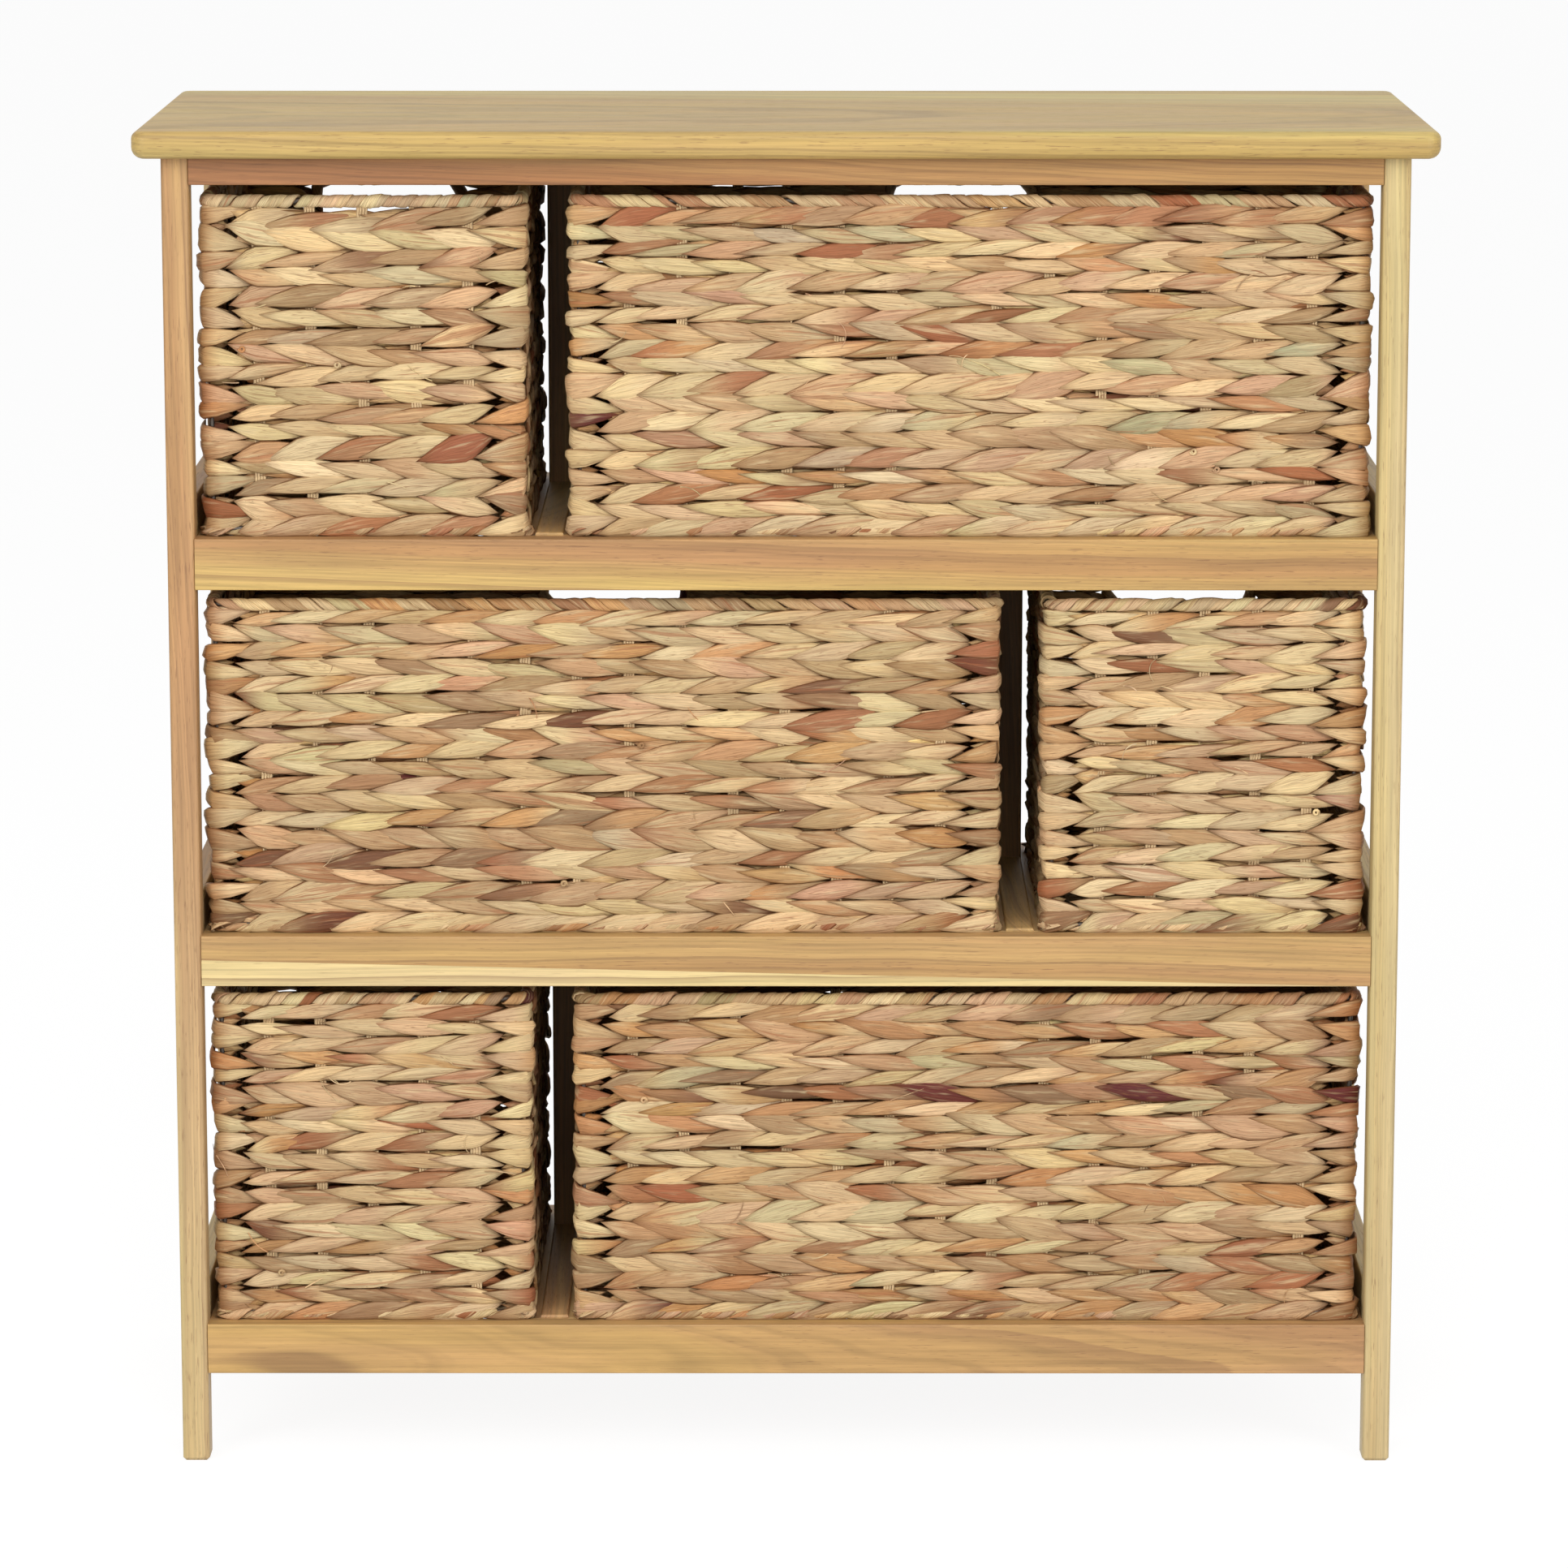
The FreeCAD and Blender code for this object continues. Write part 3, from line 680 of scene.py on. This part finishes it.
# baskets
basket = {
    "wallThick": 0.008,
    "cornerRadius": 0.008,
    "warpPitch": 0.0324,
    "rimRadius": 0.004,
    "rows": {"upper_small_basket": 17},
    "usualRows": 19,
    "overlap": {"upper_small_basket": 1.09, "middle_small_basket": 1.10, "lower_small_basket": 1.07},
    "usualOverlap": 1.17,  # height of a leaf over the height of its row
    "rowDip": {"upper_small_basket": 0.0042, "middle_small_basket": 0.0030},  # top row under the rim
    "leafReach": 1.03,  # half length of a leaf over the gap to the next warp
    "cornerReach": 0.95,
    "innerCornerReach": 0.50,  # of the inner leaves on the front corners
    "besideCorner": (0.52, 0.54),  # shorter ends of the leaves after and before a corner
    "cornerHeight": 1.14,
    "slant": 0.66,  # rise of a leaf's end over its half height
    "leafThick": 0.0025,
    "outerDepth": 0.0027,  # middle of the outer leaves below the wall's face
    "tile": 0.0021,  # how far the left end rises and the right end sinks
    "cornerShadeAndBounce": (0.74, 0.58, 0.48),  # painted shade with a painted warm reflection of the wooden posts: leaf colour on a corner over its colour elsewhere
    "gapCornerTone": (1.12, 1.10, 1.08),  # leaf colour on the front corner beside the guide strip over its colour elsewhere, lighter
    "cornerSpread": 0.0075,
    "innerBounceTint": (1.02, 0.94, 0.82),  # inner leaves' colour over that of the outer ones, warmer: painted warm light bounced between the leaves into the shaded gaps
    "ringPlaces": (-0.88, -0.62, -0.3, 0.0, 0.3, 0.62, 0.88),
    "underFloor": 0.0007,  # the lowest leaves and the base ring reach this far below the lowest row
    "rimTurns": {  # turn's width, turns side by side (less than 0 leans to the left), turns of one leaf
        "upper_small_basket": (0.0078, 1.9, 1),
        "middle_small_basket": (0.0110, 2.2, 1),
        "lower_small_basket": (0.0100, 2.0, 1),
        "upper_large_basket": (0.0092, -3.2, 3),
        "middle_large_basket": (0.0100, -2.8, 2),
        "lower_large_basket": (0.0105, 1.8, 2),
    },
    "rimCorner": 0.013,
    "baseRadius": 0.0030,
    "baseInset": 0.0032,
    "baseTurn": 0.0120,
    "bindingRadius": 0.0042,
    "bindingTurn": 0.0108,
    "bindingSpread": 0.0032,
    "bindingCorner": 0.011,
    "cordTone": (214, 186, 142),
    "cordLineTone": (130, 92, 58),
    "cordRadius": 0.0010,
    "cordPlaces": (-0.0026, -0.0009, 0.0008, 0.0025),  # the cords of one warp, side by side
    "cordDepth": 0.0040,
    "holeWidth": 0.088,
    "holeHeight": 0.026,
    "holeDrop": 0.018,  # from the top of the rim to the top of the hole
}
# how much the leaves of a wall differ from each other; lengths in metres, the rest as shares
scatter = {
    "rowHeight": 0.10,
    "reach": 0.07,
    "half": 0.16,
    "strandHalf": 0.06,  # one strand of a row is fuller than the other
    "cornerHalf": 0.14,
    "place": 0.0012,
    "height": 0.0006,
    "bend": 0.0007,
    "slant": 0.10,
    "wave": 0.0008,  # the rows' slow rise and fall round the basket
    "depth": 0.0004,
    "roll": 0.13,
    "thick": 0.14,
}
leafCover = makeLeafMaterial("hyacinth_leaf")
rimCover = makeLeafMaterial("hyacinth_rim_leaf")
cordCover = makeCordMaterial()
sixSides = np.radians(np.arange(0, 360, 60))


def pointing(shape, axis, value=1.0):
    # directions that all point along one axis
    arrows = np.zeros(shape)
    arrows[..., axis] = value
    return arrows


def rowPlan(name, floor, top, rng):
    # heights of the rows' middles and their half heights; rows differ a little and fill the wall
    rows = basket["rows"].get(name, basket["usualRows"])
    share = 1 + np.clip(scatter["rowHeight"] * rng.standard_normal(rows), -0.18, 0.18)
    if name in basket["rows"]:
        share[-5:] *= 1.07  # where the rows are fewer, the upper ones are higher
    share *= (top - floor) / share.sum()
    return floor + np.cumsum(share) - share / 2, share / 2


def makeWall(name, wall, rowMiddles, rowHalves, hole, side, rng):
    # One face of the woven wall. side is 1 for the outer leaves and -1 for the inner ones. With t from -1
    # to 1 along a leaf of half height H, its half height is H (1 - |t|^1.9)^1.3 and its middle lies at
    # s H sign(t) |t|^1.2 + b (1 - t^2) above the row's middle. s is the slant of the row, + for rising to
    # the right, and b a small bend of the leaf's own. The lowest row is level and flat underneath.
    warps, length, corners = warpPlaces(wall, basket["warpPitch"])
    count = len(warps)
    rows = len(rowMiddles)
    shape = (rows, count)
    gaps = np.diff(np.append(warps, length))
    t = np.array(basket["ringPlaces"])
    openCorner = atCorner = np.isclose(warps[:, None], corners[None]).any(axis=1)
    reach = np.where(atCorner, basket["cornerReach"], basket["leafReach"])
    if side < 0:
        openCorner = np.isclose(warps[:, None], corners[None, :2]).any(axis=1)
        reach = np.where(openCorner, basket["innerCornerReach"], reach)
    left = np.roll(gaps, 1) * reach * varied(rng, scatter["reach"], shape)
    right = gaps * reach * varied(rng, scatter["reach"], shape)
    left = np.where(np.roll(openCorner, 1)[None], left * basket["besideCorner"][0], left)
    right = np.where(np.roll(openCorner, -1)[None], right * basket["besideCorner"][1], right)
    middle = warps[None] + scatter["place"] * rng.standard_normal(shape)
    overlap = basket["overlap"].get(name, basket["usualOverlap"])
    unequal = 1 + np.clip(scatter["half"] * rng.standard_normal(shape), -0.20, 0.36)
    half = rowHalves[:, None] * overlap * unequal
    half = half * varied(rng, scatter["strandHalf"], (rows, 2))[:, np.arange(count) % 2]
    uneven = 1 + np.clip(scatter["cornerHalf"] * rng.standard_normal(shape), -0.05, 0.3)
    half = np.where(atCorner[None], rowHalves[:, None] * basket["cornerHeight"] * uneven, half)
    height = rowMiddles[:, None] + scatter["height"] * rng.standard_normal(shape)
    bend = scatter["bend"] * rng.standard_normal(shape)
    dip = basket["rowDip"].get(name, 0.0) * np.exp(-((warps - wallLengths(wall)[0] / 2) / 0.045) ** 2)
    height[-1] -= dip
    height[-2] -= dip * 0.3
    half[0], height[0], bend[0] = rowHalves[0] * 1.5, rowMiddles[0], 0
    slant = np.where((rows - 1 - np.arange(rows)) % 2 == 0, 1.0, -1.0)[:, None] * side
    slant = slant * (basket["slant"] + scatter["slant"] * rng.standard_normal(shape))

    (holeStart, holeEnd), (holeLow, holeHigh) = hole
    level = (height + half * 0.7 > holeLow) & (height - half * 0.7 < holeHigh)
    keep = ~(level & (middle > holeStart) & (middle < holeEnd))
    meetsStart = level & (middle <= holeStart) & (middle + right > holeStart)
    meetsEnd = level & (middle >= holeEnd) & (middle - left < holeEnd)
    right = np.where(meetsStart, holeStart - middle + 0.001, right)
    left = np.where(meetsEnd, middle - holeEnd + 0.001, left)

    tones = strandTones(shape, leafMix[name], rng)
    other = np.where(rng.random((rows, count, 1)) < 0.55, strandTones(shape, leafMix[name], rng, 0.7), tones)
    sunk = np.minimum(np.arange(rows), 1.0)[:, None] * np.ones(count)
    proud = np.clip(0.0009 + 0.0010 * rng.standard_normal(shape), -0.0006, 0.0024) * atCorner
    left, right, middle, half, height, slant, bend, sunk = (
        values[keep][:, None] for values in (left, right, middle, half, height, slant, bend, sunk))
    tones, other, proud = tones[keep], other[keep], proud[keep]
    leaves = len(left)
    bulge = proud + scatter["depth"] * rng.standard_normal(leaves)
    depth = basket["outerDepth"] - bulge
    if side < 0:
        depth = basket["wallThick"] - basket["outerDepth"] + bulge * 0.5

    def laid(places):
        # middle line of the leaves at these places t, the outward direction and the distance round the wall
        distance = middle + np.where(places < 0, left, right) * places
        flat, normal = alongWall(wall, distance)
        rise = slant * half * np.sign(places) * np.abs(places) ** 1.2 + bend * (1 - places ** 2)
        wave = scatter["wave"] * np.sin(distance * 31 + height * 170) * sunk
        deep = depth[:, None] + basket["tile"] * places + side * 0.0006 * np.abs(places) ** 2.5
        centre = np.dstack([flat - normal * deep[..., None], height + rise + wave])
        return centre, np.dstack([normal * side, 0 * distance]), distance

    centre, out, distance = laid(t)
    up = pointing(centre.shape, 2)
    roll = (scatter["roll"] * rng.standard_normal(leaves))[:, None, None]
    upTurned = up * np.cos(roll) + out * np.sin(roll)
    outTurned = out * np.cos(roll) - up * np.sin(roll)
    halfHeight = half * (1 - np.abs(t) ** 1.9) ** 1.3
    thick = basket["leafThick"] * varied(rng, scatter["thick"], leaves)[:, None]
    thick = thick * (1 - np.abs(t) ** 2.6) ** 0.8
    ends = laid(np.array([-1.0, 1.0]))[0]
    # a leaf may change from one tone to another along its length; where it bends round a corner it takes
    # painted shade and a painted warm reflection of the posts, and on the front corner beside the guide strip
    # a lighter tone instead
    change = rng.standard_normal((leaves, 1)) * 0.5
    sense = rng.choice([-1.0, 1.0], size=(leaves, 1))
    share = 1 / (1 + np.exp(-6 * (t[None] * sense - change)))[..., None]
    tones = tones[:, None] * (1 - share) + other[:, None] * share
    toCorners = np.abs(distance[..., None] - np.append(corners, length))
    bent = np.exp(-(toCorners.min(axis=-1) / basket["cornerSpread"]) ** 2)[..., None]
    gapCorner = 1 if abs(wall[0][0]) > abs(wall[1][0]) else 0  # the left basket of a tier has it on its right
    besideGap = (toCorners.argmin(axis=-1) % 4 == gapCorner)[..., None]
    tones = tones * (1 - bent + bent * np.where(besideGap, basket["gapCornerTone"], basket["cornerShadeAndBounce"]))
    section, label = (0, 38, 72, 108, 142, 180, 240, 300), "_outer_leaves"
    if side < 0:
        # the inner leaves take a warmer tint, painted bounce light in the shaded gaps
        tones = tones * np.array(basket["innerBounceTint"])
        section, label = (0, 50, 90, 130, 180, 270), "_inner_leaves"
    return makeLeaves(name + label, centre, upTurned, outTurned, halfHeight, thick, thick * 0.55,
                      (ends[:, 0], ends[:, 1]), t, distance - middle, tones, rng, side < 0, leafCover,
                      section, lowest=rowMiddles[0] - rowHalves[0] - basket["underFloor"])


def makeCords(name, wall, floor, top, hole, rng):
    # Warp cords up the wall, behind the outer leaves, a few side by side for each warp. The radius at turn q
    # and height z is r (1 + 0.13 cos(2 (q - k z))), which twists two strands round each other. A cord that
    # meets the hand hole ends under it, and a short one runs on above.
    warps, _, corners = warpPlaces(wall, basket["warpPitch"])
    warps = warps[~np.isclose(warps[:, None], corners[None]).any(axis=1)]
    warps = (warps[:, None] + np.array(basket["cordPlaces"])).ravel()
    (holeStart, holeEnd), (holeLow, holeHigh) = hole
    cutShort = (warps > holeStart) & (warps < holeEnd)
    starts = np.concatenate([np.full(len(warps), floor + 0.003), np.full(cutShort.sum(), holeHigh)])
    stops = np.concatenate([np.where(cutShort, holeLow, top), np.full(cutShort.sum(), top)])
    warps = np.concatenate([warps, warps[cutShort]])
    place, normal = alongWall(wall, warps)
    place = place - normal * basket["cordDepth"]
    heights = starts[:, None] + (stops - starts)[:, None] * np.linspace(0, 1, 26)[None]
    phase = rng.random(len(warps)) * 6.28
    wound = sixSides[None, None] - 900 * heights[:, :, None] + phase[:, None, None]
    radius = basket["cordRadius"] * (1 + 0.13 * np.cos(2 * wound))
    rings = np.stack([place[:, None, None, 0] + radius * np.cos(sixSides),
                      place[:, None, None, 1] + radius * np.sin(sixSides),
                      heights[:, :, None] + 0 * radius], axis=-1)
    tips = [np.column_stack([place, ends]) for ends in (heights[:, 0] - 0.0005, heights[:, -1] + 0.0005)]
    seeds = rng.random(len(warps))
    tones = np.array(shade(*basket["cordTone"])[:3]) * varied(rng, 0.06, (len(warps), 1))
    around = 10 * basket["cordRadius"] * sixSides
    return makeTubes(name + "_warp_cords", rings, tips, seeds, 10 * heights, around,
                     tones, cordCover)


def makeWound(name, wall, inset, level, tubeRadius, turnWidth, rng, lean=2.3, hold=1, upright=False):
    # A strand wound round a ring that runs round a wall, inset from its face. A level ring lies at the height
    # level; for an upright one the wall's second direction is the height, and level is its depth. Turn k,
    # with q from a little under to a little over one full turn, lies at place + R (out cos(q) + up sin(q)) of
    # the distance s + l w q/(2 pi). A lean l over 1 lays that many strands side by side, like a rope. hold
    # turns in a row share one tone.
    length = 2 * sum(wallLengths(wall))
    count = round(length / turnWidth)
    t = np.linspace(-0.96, 0.96, 11)
    starts = (np.arange(count) + 0.16 * rng.standard_normal(count)) * length / count
    order = (0, 2, 1) if upright else (0, 1, 2)

    def placed(pair, third):
        return np.dstack([pair, 0 * pair[..., 0] + third])[..., order]

    def laid(places):
        turned = (np.radians(205.0) * places + 0.6)[None, :, None]
        flat, normal = alongWall(wall, starts[:, None] + lean * turnWidth * places[None] / 2)
        up = placed(0 * normal, -1.0 if upright else 1.0)
        radial = placed(normal, 0) * np.cos(turned) + up * np.sin(turned)
        rise = (tubeRadius - 0.0011 - 0.0006 * np.abs(places) ** 3)[None, :, None]
        forward = np.stack([-normal[..., 1], normal[..., 0]], axis=-1)
        return placed(flat - normal * inset, level) + radial * rise, radial, placed(forward, 0)

    centre, radial, across = laid(t)
    ends = laid(np.array([-1.0, 1.0]))[0]
    roll = (0.07 + 0.05 * rng.standard_normal(count))[:, None, None]
    acrossTurned = across * np.cos(roll) + radial * np.sin(roll)
    radialTurned = radial * np.cos(roll) - across * np.sin(roll)
    half = turnWidth * 0.66 * varied(rng, 0.12, count)[:, None] * (1 - np.abs(t) ** 6) ** 0.7
    thick = 0.0013 * varied(rng, 0.15, count)[:, None] * (1 - np.abs(t) ** 6)
    tones = strandTones((1, count // hold + 1), leafMix[name[:name.index("_basket") + 7]], rng, 0.45)[0]
    tones = np.repeat(tones, hold, axis=0)[:count]
    travelled = np.broadcast_to(t[None] * tubeRadius * 3.5, half.shape)
    return makeLeaves(name, centre, acrossTurned, radialTurned, half, thick, thick * 0.6,
                      (ends[:, 0], ends[:, 1]), t * 0.6, travelled, tones, rng, True, rimCover,
                      (0, 45, 90, 135, 180, 270), 0.1)


stray = {
    "fibres": 20,
    "knots": 2,
    "length": (0.008, 0.022),
    "lift": (0.0002, 0.0012),  # of a fibre's end off the wall
    "radius": (0.00022, 0.0005),
    "knotRadius": 0.0009,
    "coilRadius": 0.0019,
}


def makeStrays(name, wall, rowTops, rng):
    # Loose fibres and small curled knots on the outside of the wall. With u from 0 to 1 along a fibre, it
    # goes L u along its own direction and c u^1.6 off the wall; a knot's end goes round a circle instead.
    # A point at (along, high, off) from its root lies on the wall at that distance, off it by off.
    front, side = wallLengths(wall)
    count = stray["fibres"] + stray["knots"]
    each = (count, 1)
    isKnot = (np.arange(count) >= stray["fibres"])[:, None]
    onFront = rng.random(count) < 0.6
    root = np.where(onFront, rng.uniform(0.02, front - 0.02, count), rng.uniform(-side, front + side, count))
    height = rng.choice(rowTops[1:-3], count) + 0.0010 * rng.standard_normal(count)
    u = np.linspace(0, 1, 12)[None]
    direction = rng.choice([0.0, math.pi], count)[:, None] + 0.4 * rng.standard_normal(each)
    reach = rng.uniform(*stray["length"], each)
    lift = rng.uniform(*stray["lift"], each)
    heading = direction + 0.45 * rng.standard_normal(each) * u
    turn = direction + 7.5 * u
    coil = stray["coilRadius"] * (1 - 0.55 * u)
    along = np.where(isKnot, coil * np.cos(turn), reach * u * np.cos(heading))
    high = np.where(isKnot, coil * np.sin(turn), reach * u * np.sin(heading))
    off = np.where(isKnot, 0.0004 + 0.0012 * u, lift * u ** 1.6 - 0.0004)
    flat, normal = alongWall(wall, root[:, None] + along)
    path = np.dstack([flat + normal * off[..., None], height[:, None] + high])
    forward = np.gradient(path, axis=1)
    forward /= np.linalg.norm(forward, axis=-1, keepdims=True)
    firstSide = np.cross(forward, np.dstack([normal, 0 * high]))
    firstSide /= np.linalg.norm(firstSide, axis=-1, keepdims=True)
    secondSide = np.cross(forward, firstSide)
    thick = np.where(isKnot, stray["knotRadius"], rng.uniform(*stray["radius"], each)) * (1 - 0.55 * u ** 2)
    cosine, sine = np.cos(sixSides)[:, None], np.sin(sixSides)[:, None]
    spread = firstSide[:, :, None] * cosine + secondSide[:, :, None] * sine
    rings = path[:, :, None] + spread * thick[..., None, None]
    tips = path[:, 0] - forward[:, 0] * 0.0002, path[:, -1] + forward[:, -1] * 0.0003
    seeds = rng.random(count)
    tones = strandTones((1, count), leafMix[name], rng, 1.0)[0]
    return makeTubes(name + "_loose_ends", rings, tips, seeds, 10 * reach * u, 0.0, tones, leafCover)


mat = {
    "inset": 0.006,  # of the first row from the basket's outside
    "rowPitch": 0.0118,
    "overlap": 1.15,
    "slant": 0.85,
    "reach": 0.84,
    "thick": 0.0023,
    "level": 0.0034,  # middle of the leaves above the basket's underside
}


def makeBottom(name, low, high, rng):
    # Twined mat for the bottom: rows run along x, one behind the other along y, with the same leaves as the
    # wall. Each leaf lies flat, so its height runs along y and its thickness along z.
    inset = mat["inset"]
    spanX = high[0] - low[0] - 2 * inset
    spanY = high[1] - low[1] - 2 * inset
    rows = round(spanY / mat["rowPitch"])
    count = round(spanX / basket["warpPitch"])
    step = spanX / count
    t = np.array(basket["ringPlaces"])
    shape = (rows, count)
    middle = low[0] + inset + step * (np.arange(count)[None] + 0.5) + 0.001 * rng.standard_normal(shape)
    rowHalf = spanY / rows / 2
    rowPlace = low[1] + inset + rowHalf * (2 * np.arange(rows)[:, None] + 1)
    rowPlace = rowPlace + 0.0004 * rng.standard_normal(shape)
    half = rowHalf * mat["overlap"] * varied(rng, 0.08, shape)
    slant = np.where(np.arange(rows) % 2 == 0, 1.0, -1.0)[:, None] * mat["slant"] * np.ones(shape)
    tones = strandTones(shape, leafMix[name], rng).reshape(-1, 3)
    middle, rowPlace, half, slant = (values.reshape(-1, 1) for values in (middle, rowPlace, half, slant))
    span = step * mat["reach"]

    def laid(places):
        across = np.clip(middle + span * places, low[0] + 0.0045, high[0] - 0.0045)
        deep = rowPlace + slant * half * np.sign(places) * np.abs(places) ** 1.7
        return np.dstack([across, deep, low[2] + mat["level"] - 0.0009 * places + 0 * deep])

    centre = laid(t)
    ends = laid(np.array([-1.0, 1.0]))
    thick = mat["thick"] * (1 - np.abs(t) ** 2.6) ** 0.8 * np.ones_like(half)
    return makeLeaves(name + "_bottom_mat", centre, pointing(centre.shape, 1), pointing(centre.shape, 2),
                      half * (1 - np.abs(t) ** 1.7), thick, thick * 0.9, (ends[:, 0], ends[:, 1]), t,
                      span * t * np.ones_like(half), tones, rng, False, leafCover,
                      (0, 50, 90, 130, 180, 230, 270, 310))


def makeBasket(name, seed):
    # walls, cords, rim, hole binding and bottom of one basket, all riding on its body
    rng = np.random.default_rng(seed)
    low, high = (np.array(corner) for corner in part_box(name + "_woven_body"))
    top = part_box(name + "_rim_wrap")[1][2]
    corner = basket["cornerRadius"]
    wall = ((low[0], low[1]), (high[0], high[1]), corner)
    halfHole = basket["holeWidth"] / 2
    holeX = ((low[0] + high[0]) / 2 - halfHole, (low[0] + high[0]) / 2 + halfHole)
    holeZ = (top - basket["holeDrop"] - basket["holeHeight"], top - basket["holeDrop"])
    # the rear wall is walked from right to left, from the middle of the rear right corner
    walked = sum(wallLengths(wall)) + math.pi * corner / 4 + high[0] - corner
    spread = 0.004
    hole = ((walked - holeX[1] - spread, walked - holeX[0] + spread), (holeZ[0] - spread, holeZ[1] + spread))
    middles, halves = rowPlan(name, low[2] + 0.0004, top - 2 * basket["rimRadius"] + 0.001, rng)
    outer = makeWall(name, wall, middles, halves, hole, 1, rng)
    inner = makeWall(name, wall, middles, halves, hole, -1, rng)
    cords = makeCords(name, wall, low[2], top - basket["rimRadius"], hole, rng)
    # the rim's ring runs round the middle of the wall, one tube radius below the basket's top
    midWall = basket["wallThick"] / 2
    radius = basket["rimRadius"]
    width, lean, hold = basket["rimTurns"][name]
    rim = makeWound(name + "_rim", (*wall[:2], basket["rimCorner"]), midWall, top - radius - 0.0002, radius,
                    width, rng, lean, hold)
    # the edge of the hand hole is bound by a strand wound round a rounded rectangle in the rear wall
    out = basket["bindingSpread"]
    edge = ((holeX[0] - out, holeZ[0] - out), (holeX[1] + out, holeZ[1] + out), basket["bindingCorner"])
    binding = makeWound(name + "_hand_hole_binding", edge, 0.0, high[1] - midWall, basket["bindingRadius"],
                        basket["bindingTurn"], rng, upright=True)
    bottom = makeBottom(name, low, high, rng)
    # the strand that wraps the bottom wire, where the wall and the mat meet
    base = makeWound(name + "_base_ring", wall, basket["baseInset"], low[2] + basket["baseRadius"] - 0.0003,
                     basket["baseRadius"], basket["baseTurn"], rng)
    strays = makeStrays(name, wall, middles + halves, rng)
    pieces = (outer, inner, cords, binding, bottom, base, strays, rim)
    for piece in pieces:
        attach(piece, name)
        "rim_leaf" if piece in (rim, binding) else "woven_leaf"
        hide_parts(name + ("_rim_wrap" if piece is rim else "_woven_body"))
    print("stage:", name, "is woven,", sum(len(piece.data.polygons) for piece in pieces), "faces")


for tierNumber, tier in enumerate(tierNames):
    for sizeNumber, size in enumerate(("small", "large")):
        makeBasket(tier + "_" + size + "_basket", 100 + 10 * tierNumber + sizeNumber)
